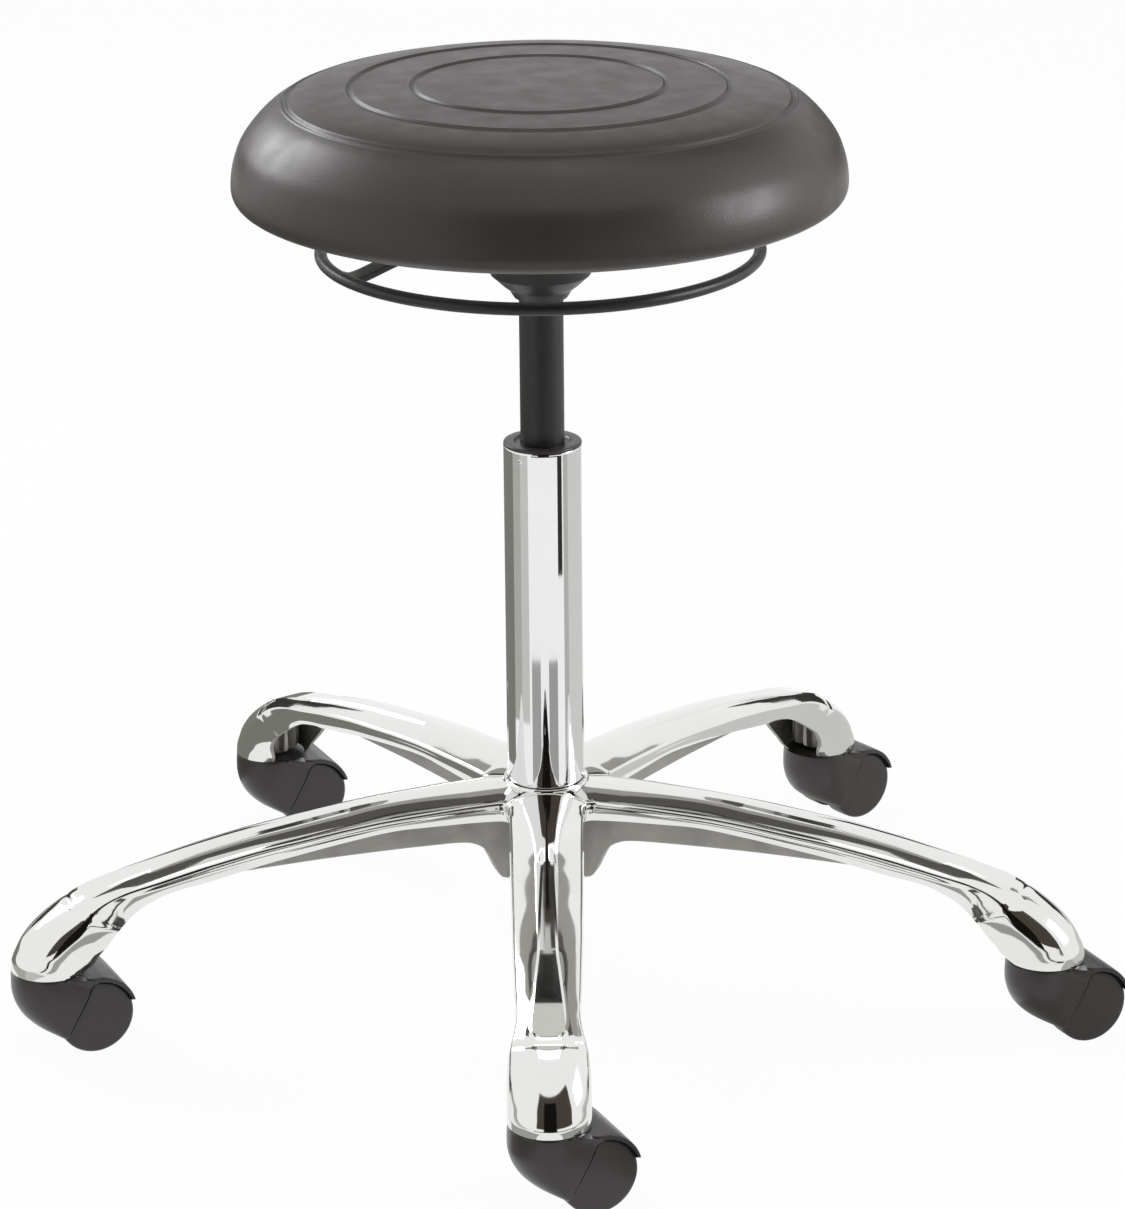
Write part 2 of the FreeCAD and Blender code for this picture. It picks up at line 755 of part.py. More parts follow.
def gas_cylinder():
    """The sliding cylinder with its rod guide and seal below and its valve above."""
    body = tube("cylinder_tube", cylinder_bore, size("cylinder_radius"),
                cylinder_top - cylinder_bottom)
    named(place(body, z=cylinder_bottom), "gas_cylinder")
    plug = cylinder_bore - size("press_clearance")
    rod_room = size("rod_radius") + size("running_clearance")
    guide = tube("guide_plug", rod_room, plug, size("rod_guide_height"))
    named(place(guide, z=cylinder_bottom), "rod_guide")
    seal = tube("rod_seal_ring", rod_room, plug, size("rod_seal_height"))
    named(place(seal, z=seal_base), "rod_seal")
    pin_room = size("button_radius") + size("running_clearance")
    height = size("valve_body_height")
    chamber = size("valve_chamber")
    valve = revolved("valve_plug", [
        (0, 0), (plug, 0), (plug, height), (pin_room, height), (pin_room, chamber), (0, chamber)])
    named(place(valve, z=valve_base), "valve_body")
    pin = button_top - button_base
    edge = size("button_edge")
    button = revolved("button_pin", [
        (0, 0), (size("button_radius"), 0), (size("button_radius"), pin - edge),
        (size("button_radius") - edge, pin), (0, pin)])
    named(place(button, z=button_base), "valve_button")


# ---- seat ----

def seat_hub():
    """The stepped black hub under the seat, slotted for the release arm."""
    body_low = size("seat_hub_body")
    top = size("seat_hub_height")
    body_high = cylinder_top - seat_hub_bottom
    wall = size("seat_hub_wall")
    bore = size("cylinder_radius") + size("press_clearance")
    flange = size("seat_hub_flange_radius")
    rim = size("plate_thickness")
    body = revolved("hub_turned", [
        (bore, 0), (size("seat_hub_nose_radius"), 0),
        (size("seat_hub_cone_radius"), size("seat_hub_nose")),
        (size("seat_hub_shoulder_radius"), size("seat_hub_shoulder")),
        (size("seat_hub_body_radius"), body_low),
        (size("seat_hub_body_radius"), body_high), (flange, top - rim), (flange, top),
        (flange - wall, top), (flange - wall, top - rim),
        (size("seat_hub_body_radius") - wall, body_high - rim), (bore, body_high - rim)])
    reach = size("fulcrum_reach")
    half = size("fulcrum_width") / 2
    low = arm_top + size("face_clearance") - seat_hub_bottom
    high = low + size("fulcrum_height")
    for side, middle in (("left", -reach), ("right", reach)):
        padded(body, "%s_fulcrum" % side, "XZ_Plane",
               [(middle - half, low), (middle + half, low), (middle + half, high),
                (middle - half, high)],
               size("seat_hub_body_radius") * 2 - wall, both_ways=True)
    place(body, z=seat_hub_bottom, turn=size("arm_angle"))
    slot_body = doc.addObject("PartDesign::Body", "arm_slot")
    slot_low = arm_bottom - size("arm_slot_below")
    slot_high = arm_top + size("arm_slot_above")
    inside = size("fulcrum_reach") + size("fulcrum_width") / 2 + size("face_clearance")
    for side, direction in (("left", -1), ("right", 1)):
        near = inside * direction
        far = (flange + wall) * direction
        padded(slot_body, "%s_slot" % side, "XZ_Plane",
               [(near, slot_low), (far, slot_low), (far, slot_high), (near, slot_high)],
               size("arm_slot_width"), both_ways=True)
    place(slot_body, turn=size("arm_angle"))
    hub = doc.addObject("Part::Cut", "seat_hub")
    hub.Base = body
    hub.Tool = slot_body
    return named(hub, "seat_hub")


def bolt_places():
    """The four corners of the seat's bolt square."""
    half = size("bolt_spacing") / 2
    return [(half, half), (-half, half), (-half, -half), (half, -half)]


def seat_plate():
    """The flat plate with cut corners that carries the hub."""
    body = doc.addObject("PartDesign::Body", "plate_blank")
    half = size("plate_side") / 2
    near = half - size("plate_corner")
    padded(body, "plate", "XY_Plane",
           [(half, -near), (half, near), (near, half), (-near, half), (-half, near),
            (-half, -near), (-near, -half), (near, -half)], size("plate_thickness"))
    place(body, z=plate_bottom)
    holes = []
    for number, (x, y) in enumerate(bolt_places()):
        hole = cylinder("plate_hole_%d" % (number + 1),
                        size("bolt_radius") + size("bolt_clearance"), size("plate_thickness") * 3)
        holes.append(place(hole, x, y, plate_bottom - size("plate_thickness")))
    plate = doc.addObject("Part::Cut", "seat_plate")
    plate.Base = body
    plate.Tool = grouped_tools("plate_holes", holes)
    return named(plate, "seat_plate")


def seat_fasteners():
    """Bolts and washers below the plate, and the tee nuts in the pan."""
    bolts = []
    washers = []
    nuts = []
    washer_base = plate_bottom - size("washer_thickness")
    head_base = washer_base - size("bolt_head_height")
    shank = seat_underside + size("pan_thickness") - size("face_clearance") - head_base
    barrel = size("pan_thickness") - size("tee_nut_flange")
    thread = size("bolt_radius") + size("press_clearance")
    for number, (x, y) in enumerate(bolt_places()):
        head = doc.addObject("Part::Prism", "bolt_head_%d" % (number + 1))
        head.Polygon = 6
        bind(head, "Circumradius", size("bolt_head_radius"))
        bind(head, "Height", size("bolt_head_height"))
        place(head, x, y, head_base)
        stem = cylinder("bolt_shank_%d" % (number + 1), size("bolt_radius"), shank)
        place(stem, x, y, head_base)
        bolt = doc.addObject("Part::Fuse", "bolt_%d" % (number + 1))
        bolt.Base = head
        bolt.Tool = stem
        bolts.append(bolt)
        washer = tube("washer_%d" % (number + 1), size("bolt_radius") + size("bolt_clearance"),
                      size("washer_radius"), size("washer_thickness"))
        washers.append(place(washer, x, y, washer_base))
        nut = revolved("tee_nut_%d" % (number + 1), [
            (thread, 0), (size("tee_nut_barrel"), 0), (size("tee_nut_barrel"), barrel),
            (size("tee_nut_radius"), barrel), (size("tee_nut_radius"), size("pan_thickness")),
            (thread, size("pan_thickness"))])
        nuts.append(place(nut, x, y, seat_underside))
    grouped("seat_bolts", bolts)
    grouped("bolt_washers", washers)
    grouped("tee_nuts", nuts)


def seat_pan():
    """The stiff board moulded into the seat, bored for the tee nuts."""
    thickness = size("pan_thickness")
    disc = revolved("pan_disc", [(0, 0), (size("pan_radius"), 0),
                                 (size("pan_radius"), thickness), (0, thickness)])
    place(disc, z=seat_underside)
    rooms = []
    fit = size("press_clearance")
    for number, (x, y) in enumerate(bolt_places()):
        barrel = cylinder("barrel_room_%d" % (number + 1), size("tee_nut_barrel") + fit,
                          thickness * 2)
        rooms.append(place(barrel, x, y, seat_underside - thickness / 2))
        flange = cylinder("flange_room_%d" % (number + 1), size("tee_nut_radius") + fit,
                          size("tee_nut_flange") * 2)
        rooms.append(place(flange, x, y, seat_underside + thickness - size("tee_nut_flange")))
    pan = doc.addObject("Part::Cut", "seat_pan")
    pan.Base = disc
    pan.Tool = grouped_tools("pan_rooms", rooms)
    return named(pan, "seat_pan")


def rounded_edge(body, name, radius, level):
    """Round the outermost circular edge at a level of a turned body."""
    base = body.Tip
    widest = 0.0
    chosen = None
    for number, edge in enumerate(base.Shape.Edges, start=1):
        box = edge.BoundBox
        if abs(box.ZMin - level) < 0.01 and abs(box.ZMax - level) < 0.01 and box.XMax > widest:
            widest = box.XMax
            chosen = "Edge%d" % number
    fillet = body.newObject("PartDesign::Fillet", name)
    fillet.Base = (base, [chosen])
    bind(fillet, "Radius", radius)
    body.Tip = fillet
    doc.recompute()
    return fillet


def seat_cushion():
    """The round moulded cushion, open below for the board, with big rounded edges."""
    gap = size("face_clearance")
    room = size("pan_radius") + gap
    ceiling = size("pan_thickness") + gap
    radius = size("seat_radius")
    rim = size("cushion_rim_height")
    body = revolved("cushion_turned", [
        (0, ceiling), (room, ceiling), (room, 0), (radius, 0), (radius, rim),
        (0, size("cushion_height"))])
    doc.recompute()
    rounded_edge(body, "shoulder", size("cushion_shoulder"), rim.number)
    rounded_edge(body, "lower_edge", size("cushion_lower_edge"), 0)
    return named(place(body, z=seat_underside), "seat_cushion")


# ---- height-release ring ----

def release_ring():
    """The round bar that is lifted to raise or lower the seat."""
    ring = doc.addObject("Part::Torus", "lever_ring")
    bind(ring, "Radius1", size("ring_radius"))
    bind(ring, "Radius2", size("ring_rod_radius"))
    return named(place(ring, z=ring_height), "lever_ring")


def release_arm():
    """The flat arm across the ring: level over the valve, bent down to the ring's bar."""
    end = size("ring_radius") - size("ring_rod_radius") - size("weld_gap")
    level = size("arm_level_reach")
    half = size("arm_thickness") / 2
    body = doc.addObject("PartDesign::Body", "lever_arm")
    padded(body, "arm", "XZ_Plane", [
        (-end, ring_height + half), (-end, ring_height - half), (-level, arm_bottom),
        (level, arm_bottom), (end, ring_height - half), (end, ring_height + half),
        (level, arm_top), (-level, arm_top)], size("arm_width"), both_ways=True)
    return named(place(body, turn=size("arm_angle")), "lever_arm")


# ---- the whole stool ----

def check_model():
    """Stop before anything is written if any object failed."""
    for thing in doc.Objects:
        for state in thing.State:
            if state in ("Invalid", "Error"):
                raise RuntimeError("%s is %s" % (thing.Name, state))
    for piece in SUBPARTS:
        if piece.Shape.isNull() or not piece.Shape.isValid():
            raise RuntimeError("%s has no valid shape" % piece.Label)
        if piece.Shape.Volume <= 0:
            raise RuntimeError("%s has no volume" % piece.Label)


def write_parts():
    os.makedirs("parts", exist_ok=True)
    for piece in SUBPARTS:
        piece.Shape.exportStep(os.path.join("parts", piece.Label + ".step"))


star_base()
for caster_number in range(int(size("leg_count").number)):
    caster(caster_number)
outer_column()
guide_bushing()
thrust_bearing()
lift_rod()
gas_cylinder()
seat_hub()
seat_plate()
seat_fasteners()
seat_pan()
seat_cushion()
release_ring()
release_arm()
doc.recompute()
check_model()
write_parts()
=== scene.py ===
import json
import math

import bmesh
import bpy
from bpy.props import FloatProperty, FloatVectorProperty, IntProperty, PointerProperty
from mathutils import Matrix, Vector


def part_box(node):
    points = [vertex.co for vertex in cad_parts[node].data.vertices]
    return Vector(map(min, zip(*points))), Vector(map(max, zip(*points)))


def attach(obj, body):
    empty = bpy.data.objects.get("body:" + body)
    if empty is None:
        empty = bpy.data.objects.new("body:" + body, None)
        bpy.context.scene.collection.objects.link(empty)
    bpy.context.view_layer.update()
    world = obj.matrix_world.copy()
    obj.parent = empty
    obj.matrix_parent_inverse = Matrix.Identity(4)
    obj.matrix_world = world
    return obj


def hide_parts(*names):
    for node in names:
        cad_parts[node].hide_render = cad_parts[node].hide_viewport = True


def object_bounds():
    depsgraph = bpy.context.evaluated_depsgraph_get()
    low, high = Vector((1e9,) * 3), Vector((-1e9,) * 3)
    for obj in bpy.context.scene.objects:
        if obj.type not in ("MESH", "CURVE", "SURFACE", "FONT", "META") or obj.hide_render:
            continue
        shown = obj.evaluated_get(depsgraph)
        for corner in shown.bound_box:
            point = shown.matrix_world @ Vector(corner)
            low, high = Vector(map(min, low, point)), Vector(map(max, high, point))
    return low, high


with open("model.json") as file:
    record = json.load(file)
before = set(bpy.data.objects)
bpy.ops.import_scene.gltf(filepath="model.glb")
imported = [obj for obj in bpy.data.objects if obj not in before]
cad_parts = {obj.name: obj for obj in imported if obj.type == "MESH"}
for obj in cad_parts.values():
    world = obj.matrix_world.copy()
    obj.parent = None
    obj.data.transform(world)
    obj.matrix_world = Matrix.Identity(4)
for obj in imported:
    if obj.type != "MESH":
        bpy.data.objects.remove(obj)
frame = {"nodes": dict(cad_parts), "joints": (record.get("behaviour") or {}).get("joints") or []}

bl_info = {
    "name": "Adjustable Swivel Stool",
    "version": (1, 0, 0),
    "blender": (4, 5, 0),
    "location": "3D View > Sidebar > Stool",
    "description": "Builds the looks of a round gas-lift stool on a five-legged caster base",
    "category": "Object",
}

MM = 0.001
CAD_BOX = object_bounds()
CASTERS = tuple(range(1, 6))


# ---- shared helpers ----

def linear(hex_colour):
    """An sRGB hex colour as linear red, green and blue."""
    shades = [int(hex_colour[start:start + 2], 16) / 255 for start in (1, 3, 5)]
    return [s / 12.92 if s <= 0.04045 else ((s + 0.055) / 1.055) ** 2.4 for s in shades]


def box_mm(node):
    """Lowest and highest corner of a CAD node, in millimetres."""
    low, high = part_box(node)
    return low / MM, high / MM


def joint(name):
    """The packed record's row for one joint."""
    return next(row for row in frame["joints"] if row["name"] == name)


def flowed(rows, steps):
    """Rows of numbers with a smooth curve's rows added between them."""
    ends = [rows[0]] + list(rows) + [rows[-1]]
    flow = []
    for number in range(1, len(ends) - 2):
        before, start, end, after = ends[number - 1:number + 3]
        for step in range(steps):
            t = step / steps
            flow.append([
                0.5 * (2 * b + (c - a) * t + (2 * a - 5 * b + 4 * c - d) * t ** 2
                       + (3 * b - a - 3 * c + d) * t ** 3)
                for a, b, c, d in zip(before, start, end, after)])
    return flow + [list(rows[-1])]


def rounded(corners, closed=True, steps=4):
    """An outline of (across, up, radius) corners with each corner rounded."""
    outline = []
    count = len(corners)
    for number, (across, up, radius) in enumerate(corners):
        inner = closed or 0 < number < count - 1
        if radius <= 0 or not inner:
            outline.append((across, up))
            continue
        here = Vector((across, up))
        before = Vector(corners[number - 1][:2]) - here
        after = Vector(corners[(number + 1) % count][:2]) - here
        reach = min(radius, before.length * 0.49, after.length * 0.49)
        start = here + before.normalized() * reach
        end = here + after.normalized() * reach
        for step in range(steps + 1):
            t = step / steps
            point = start * (1 - t) ** 2 + here * 2 * t * (1 - t) + end * t ** 2
            outline.append((point.x, point.y))
    return outline


def loft(rows, closed=False, ends=False):
    """Points and faces through rows of points; ends closes the first and last row."""
    count = len(rows[0])
    points = [Vector(point) for row in rows for point in row]
    faces = []
    for step in range(len(rows) - 1):
        low = step * count
        for number in range(count if closed else count - 1):
            after = (number + 1) % count
            faces.append((low + number, low + after, low + count + after, low + count + number))
    if ends:
        faces.append(tuple(range(count)))
        faces.append(tuple(range(len(points) - count, len(points))))
    return points, faces


def lathe(outline, turns=128, closed=True):
    """Points and faces of an outline of (radius, height) turned about the upright axis."""
    rows = []
    for radius, height in outline:
        rows.append([
            (radius * math.cos(math.tau * turn / turns), radius * math.sin(math.tau * turn / turns),
             height) for turn in range(turns)])
    if closed:
        rows.append(rows[0])
    return loft(rows, closed=True)


def moved(part, matrix):
    """The same part with its points moved."""
    points, faces = part
    return [matrix @ point for point in points], faces


def add_piece(name, parts, finishes, body, replaces=(), sharp=32):
    """A new mesh piece from (points and faces, finish number) parts, in millimetres."""
    built = bmesh.new()
    for (points, faces), finish in parts:
        made = [built.verts.new(Vector(point) * MM) for point in points]
        for corners in faces:
            face = built.faces.new([made[number] for number in corners])
            face.material_index = finish
    bmesh.ops.remove_doubles(built, verts=built.verts, dist=0.002 * MM)
    bmesh.ops.recalc_face_normals(built, faces=built.faces)
    mesh = bpy.data.meshes.new(name)
    built.to_mesh(mesh)
    built.free()
    for finish in finishes:
        mesh.materials.append(finish)
    mesh.shade_smooth()
    mesh.set_sharp_from_angle(angle=math.radians(sharp))
    piece = bpy.data.objects.new(name, mesh)
    bpy.context.scene.collection.objects.link(piece)
    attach(piece, body)
    if replaces:
        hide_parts(*replaces)
    return piece


# ---- finishes ----

def add_node(tree, kind, links=None, **settings):
    """Adds a node with its settings; links sets sockets to numbers or to other nodes' outputs."""
    node = tree.nodes.new(kind)
    for key, value in settings.items():
        setattr(node, key, value)
    for socket, value in (links or {}).items():
        if isinstance(value, bpy.types.NodeSocket):
            tree.links.new(value, node.inputs[socket])
        else:
            node.inputs[socket].default_value = value
    return node


def empty_material(name):
    """A new material and its node tree, with nothing in it yet."""
    material = bpy.data.materials.new(name)
    material.use_nodes = True
    material.node_tree.nodes.clear()
    return material, material.node_tree


def make_finish(name, colour, second, grain, relief, roughness, metallic=0.0, patch=45.0,
                stretch=(1, 1, 1), cells=False, specular=0.5, smudge=18.0):
    """A surface with two tones in patches, a fine relief and a roughness that wanders.

    colour and second are linear colours, grain is the relief's spacing and patch and smudge
    the size of tone and roughness patches, all in mm; relief is the depth in mm.
    """
    material = bpy.data.materials.get(name)
    if material:
        return material
    material, tree = empty_material(name)
    where = add_node(tree, "ShaderNodeTexCoord").outputs["Object"]
    along = add_node(tree, "ShaderNodeMapping", {"Vector": where, "Scale": stretch})
    tones = add_node(tree, "ShaderNodeTexNoise",
                     {"Vector": where, "Scale": 1 / (patch * MM), "Detail": 4.0})
    mixed = add_node(tree, "ShaderNodeMix", {
        "Factor": tones.outputs["Fac"], 6: (*colour, 1), 7: (*second, 1)}, data_type="RGBA")
    smears = add_node(tree, "ShaderNodeTexNoise", {
        "Vector": along.outputs["Vector"], "Scale": 1 / (smudge * MM), "Detail": 5.0})
    rough = add_node(tree, "ShaderNodeMapRange", {
        "Value": smears.outputs["Fac"], "From Min": 0.3, "From Max": 0.7,
        "To Min": roughness[0], "To Max": roughness[1]})
    if cells:
        fine = add_node(tree, "ShaderNodeTexVoronoi", {
            "Vector": along.outputs["Vector"], "Scale": 1 / (grain * MM)}, feature="SMOOTH_F1")
        height = fine.outputs["Distance"]
    else:
        fine = add_node(tree, "ShaderNodeTexNoise", {
            "Vector": along.outputs["Vector"], "Scale": 1 / (grain * MM), "Detail": 3.0})
        height = fine.outputs["Fac"]
    bump = add_node(tree, "ShaderNodeBump", {
        "Height": height, "Strength": 1.0, "Distance": relief * MM})
    shader = add_node(tree, "ShaderNodeBsdfPrincipled", {
        "Base Color": mixed.outputs[2], "Roughness": rough.outputs["Result"],
        "Normal": bump.outputs["Normal"], "Metallic": metallic,
        "Specular IOR Level": specular})
    add_node(tree, "ShaderNodeOutputMaterial", {"Surface": shader.outputs["BSDF"]})
    return material


def polished_aluminium():
    """Die-cast aluminium buffed to a mirror: faint polishing haze, almost no relief."""
    return make_finish("polished_cast_aluminium", linear("#ececea"), linear("#e2e2e0"),
                       grain=6.0, relief=0.001, roughness=(0.04, 0.09), metallic=1.0)


def cast_aluminium():
    """Aluminium as it leaves the mould: dull grey with a sandy skin about half a mm across."""
    return make_finish("as_cast_aluminium", linear("#b1afaa"), linear("#9d9b96"),
                       grain=0.9, relief=0.05, roughness=(0.5, 0.68), metallic=0.85, patch=22.0)


def chrome():
    """Bright chrome plate on drawn tube: a cool mirror with slight long waves from drawing."""
    return make_finish("bright_chrome_plate", linear("#f0f0f1"), linear("#e9e9ea"),
                       grain=16.0, relief=0.004, roughness=(0.02, 0.05), metallic=1.0,
                       stretch=(1, 1, 0.15))


def powder_coat():
    """Black powder coat: even satin black with orange peel about a mm across."""
    return make_finish("satin_black_powder_coat", linear("#262625"), linear("#202020"),
                       grain=1.1, relief=0.02, roughness=(0.34, 0.46))


def moulded_nylon():
    """Injection-moulded black nylon: slightly brown black, smooth satin, faint flow marks."""
    return make_finish("moulded_black_nylon", linear("#3a3635"), linear("#332f2e"),
                       grain=0.7, relief=0.012, roughness=(0.26, 0.36), patch=16.0)


def seat_foam():
    """Self-skinned polyurethane foam: charcoal skin with a fine pebble grain and soft sheen.

    The real grain is about 0.6 mm; it is drawn at 1.2 mm so that it shows at all.
    """
    colours = bpy.context.scene.stool_seat
    return make_finish("self_skinned_polyurethane", colours.skin_colour, colours.worn_colour,
                       grain=1.2, relief=0.06, roughness=(0.35, 0.45), patch=70.0, cells=True)


def painted_shade_black():
    """Painted shade for the narrow moulded groove along the hood's opening: deep matte black that
    stands in for the shadow in the gap between hood and disc.
    """
    return make_finish("painted_shade_black_nylon", linear("#0a0a0a"), linear("#0e0d0d"),
                       grain=0.5, relief=0.02, roughness=(0.8, 0.92), patch=8.0, specular=0.2)


def natural_nylon():
    """Unfilled nylon: waxy off-white with a soft gloss."""
    return make_finish("natural_nylon", linear("#d9d2c0"), linear("#cfc7b2"),
                       grain=1.5, relief=0.02, roughness=(0.36, 0.5), patch=10.0)


def rubber():
    """Moulded black rubber: matte, with a dry bloom in patches."""
    return make_finish("moulded_black_rubber", linear("#1d1d1c"), linear("#2a2a28"),
                       grain=0.5, relief=0.03, roughness=(0.7, 0.85), patch=6.0, specular=0.35)


def ground_steel():
    """Ground bearing steel: bright, with grinding lines round the part half a mm apart."""
    return make_finish("ground_bearing_steel", linear("#c8c9ca"), linear("#b9babb"),
                       grain=0.8, relief=0.006, roughness=(0.14, 0.24), metallic=1.0,
                       stretch=(1, 1, 6))


def zinc_plate():
    """Bright zinc plate: bluish grey spangle a few mm wide, slightly cloudy."""
    return make_finish("bright_zinc_plate", linear("#b4b8bc"), linear("#9fa4a6"),
                       grain=1.4, relief=0.012, roughness=(0.24, 0.4), metallic=1.0, patch=5.0,
                       cells=True)


def birch_plywood():
    """Grey-primed birch plywood: pale neutral grey, long fine grain and faint veneer bands."""
    material = bpy.data.materials.get("grey_primed_birch_plywood")
    if material:
        return material
    material, tree = empty_material("grey_primed_birch_plywood")
    where = add_node(tree, "ShaderNodeTexCoord").outputs["Object"]
    grain = add_node(tree, "ShaderNodeMapping", {"Vector": where, "Scale": (0.06, 1, 1)})
    lines = add_node(tree, "ShaderNodeTexNoise", {
        "Vector": grain.outputs["Vector"], "Scale": 1 / (1.2 * MM), "Detail": 6.0})
    bands = add_node(tree, "ShaderNodeTexWave", {"Vector": where, "Scale": 1 / (19 * MM)},
                     bands_direction="Z")
    figure = add_node(tree, "ShaderNodeMix", {
        "Factor": lines.outputs["Fac"], 6: (*linear("#dddcd9"), 1), 7: (*linear("#cbcac6"), 1)},
        data_type="RGBA")
    veneers = add_node(tree, "ShaderNodeMix", {
        "Factor": bands.outputs["Fac"], 6: figure.outputs[2], 7: (*linear("#d3d1cc"), 1)},
        data_type="RGBA")
    bump = add_node(tree, "ShaderNodeBump", {
        "Height": lines.outputs["Fac"], "Strength": 1.0, "Distance": 0.04 * MM})
    shader = add_node(tree, "ShaderNodeBsdfPrincipled", {
        "Base Color": veneers.outputs[2], "Roughness": 0.6, "Normal": bump.outputs["Normal"]})
    add_node(tree, "ShaderNodeOutputMaterial", {"Surface": shader.outputs["BSDF"]})
    return material


# ---- sizes and colours a user would change ----

def length_property(name, description, millimetres, low=0.0):
    """A length setting whose default is given in millimetres."""
    return FloatProperty(name=name, description=description, default=millimetres * MM,
                         min=low * MM, unit="LENGTH", precision=4)


def colour_property(name, description, hex_colour):
    """A colour setting whose default is an sRGB hex colour."""
    return FloatVectorProperty(name=name, description=description, size=3, subtype="COLOR",
                               min=0.0, max=1.0, default=linear(hex_colour))


def angle_property(name, description, degrees):
    """An angle setting whose default is given in degrees."""
    return FloatProperty(name=name, description=description, default=math.radians(degrees),
                         subtype="ANGLE")


def power_property(name, description, watts):
    """A lamp's power setting."""
    return FloatProperty(name=name, description=description, default=watts, unit="POWER")


class SeatSettings(bpy.types.PropertyGroup):
    """The moulded seat."""

    groove_depth: length_property("Groove depth", "How deep the three rings are cut", 1.5)
    groove_width: length_property("Groove width", "Width of each ring at the top", 3.4)
    skin_colour: colour_property("Skin colour", "Charcoal of the moulded skin", "#393432")
    worn_colour: colour_property("Second tone", "Slightly lighter patches of the skin", "#3f3937")


class BaseSettings(bpy.types.PropertyGroup):
    """The five-legged casting."""

    wall: length_property("Wall", "Thickness of the hollow legs", 3.5, 1.0)
    hub_fillet: length_property("Hub fillet", "Radius in plan between two legs", 6.0, 1.0)
    face_step: length_property("Face step", "Width of the slope beside the raised top face", 1.8)
    edge_round: length_property("Leg edge", "Rounding between a leg's top and its sides", 3.2, 0.5)


class CasterSettings(bpy.types.PropertyGroup):
    """The twin-wheel casters."""

    shell: length_property("Shell", "Thickness of the hood", 1.5, 0.5)
    disc_edge: length_property("Disc edge", "Rounding of the discs' outer edge", 2.6, 0.2)


class ColumnSettings(bpy.types.PropertyGroup):
    """The tube, its bushing and the sliding cylinder."""

    edge: length_property("Edge", "Rounding of the turned edges", 0.7, 0.1)
    crimp_depth: length_property("Crimp depth", "Depth of the crimp near the tube's top", 1.1)


class ReleaseSettings(bpy.types.PropertyGroup):
    """The lift ring and its arm."""

    bead: length_property("Weld bead", "Size of the weld beads at the arm's ends", 3.2, 0.5)
    arm_edge: length_property("Arm edge", "Rounding of the flat arm's edges", 0.8, 0.1)


class StudioSettings(bpy.types.PropertyGroup):
    """Camera, lamps and floor."""

    camera_distance: length_property(
        "Camera distance", "How far in front of the column the camera is", 2686.91)
    camera_height: length_property(
        "Camera height", "Height of the camera over the floor", 1216.65)
    camera_tilt: angle_property("Camera tilt", "How far down the camera looks", 19.63)
    camera_turn: angle_property("Camera turn", "How far right the camera looks", 0.25)
    camera_roll: angle_property("Camera roll", "Roll of the camera", -0.51)
    camera_lens: FloatProperty(name="Lens", default=142.385, unit="CAMERA",
                               description="Focal length for a 36 mm wide sensor")
    left_lamp: power_property("Left lamp", "Strength of the large soft lamp behind left", 33.0)
    right_lamp: power_property("Right lamp", "Strength of the large soft lamp right", 30.0)
    top_lamp: power_property("Top lamp", "Strength of the soft lamp overhead", 4.5)
    fill: FloatProperty(name="Fill", default=0.44,
                        description="Strength of the even light all round")


# ---- seat ----

GROOVE_RADII = (78.1, 117.3, 157.0)
# The raised lip beside each ring: its height in mm and its width as a share of half a ring's.
LIP_HEIGHT = 0.5
LIP_SHARE = 0.7
SEAT_CROWN = ((0, 80.0), (40, 79.6), (78.1, 79.0), (117.3, 77.6), (132, 76.4), (145, 74.4),
              (153, 72.2), (160, 69.4), (167, 65.2), (174, 58.9), (180.2, 51.7), (185.3, 44.2),
              (188.6, 36.0), (190.5, 28.5), (191.3, 21.5), (191.2, 16.2), (189.6, 12.4),
              (186.2, 9.6), (181, 7.4), (174, 5.3), (166, 3.4), (157, 1.4))


def seat_outline(depth, width):
    """The seat's outline from the centre of the top to its lower edge, with its grooves."""
    fine = flowed([list(corner) for corner in SEAT_CROWN], 10)
    outline = []
    for number, (radius, height) in enumerate(fine):
        outline.append((radius, height))
        if number + 1 < len(fine) and radius < GROOVE_RADII[-1] + width:
            after = fine[number + 1]
            span = math.hypot(after[0] - radius, after[1] - height)
            for step in range(1, int(span / 0.35)):
                share = step / int(span / 0.35)
                outline.append((radius + (after[0] - radius) * share,
                                height + (after[1] - height) * share))
    grooved = []
    for radius, height in outline:
        cut = 0.0
        for groove in GROOVE_RADII:
            away = abs(radius - groove) / (width / 2)
            if height > 40 and away < 1:
                cut = depth * (1 - away ** 2) ** 1.5
            elif height > 40 and away < 1 + LIP_SHARE:
                cut = -LIP_HEIGHT * math.sin(math.pi * (away - 1) / LIP_SHARE)
        grooved.append((radius, height - cut))
    thinned = [grooved[0]]
    for corner in grooved[1:]:
        near_groove = corner[1] > 40 and min(abs(corner[0] - g) for g in GROOVE_RADII) < width
        if near_groove or math.dist(corner, thinned[-1]) > 1.6:
            thinned.append(corner)
    return thinned


class STOOL_OT_seat(bpy.types.Operator):
    """Make the round moulded seat with its three rings"""

    bl_idname = "stool.seat"
    bl_label = "Seat"

    def execute(self, context):
        settings = context.scene.stool_seat
        base = box_mm("seat_cushion")[0].z
        pan_low, pan_high = box_mm("seat_pan")
        room = (pan_high.x - pan_low.x) / 2 + 0.3
        outline = [(radius, base + height) for radius, height in
                   seat_outline(settings.groove_depth / MM, settings.groove_width / MM)]
        outline += [(room + 1.4, base + 0.7), (room + 0.4, base + 0.1), (room, base + 0.6),
                    (room, pan_high.z + 0.3), (0, pan_high.z + 0.3)]
        seat = add_piece("seat_skin", [(lathe(outline, 256, closed=False), 0)], [seat_foam()],
                         "seat", ["seat_cushion"], sharp=50)
        return {"FINISHED"}


# ---- five-legged base ----

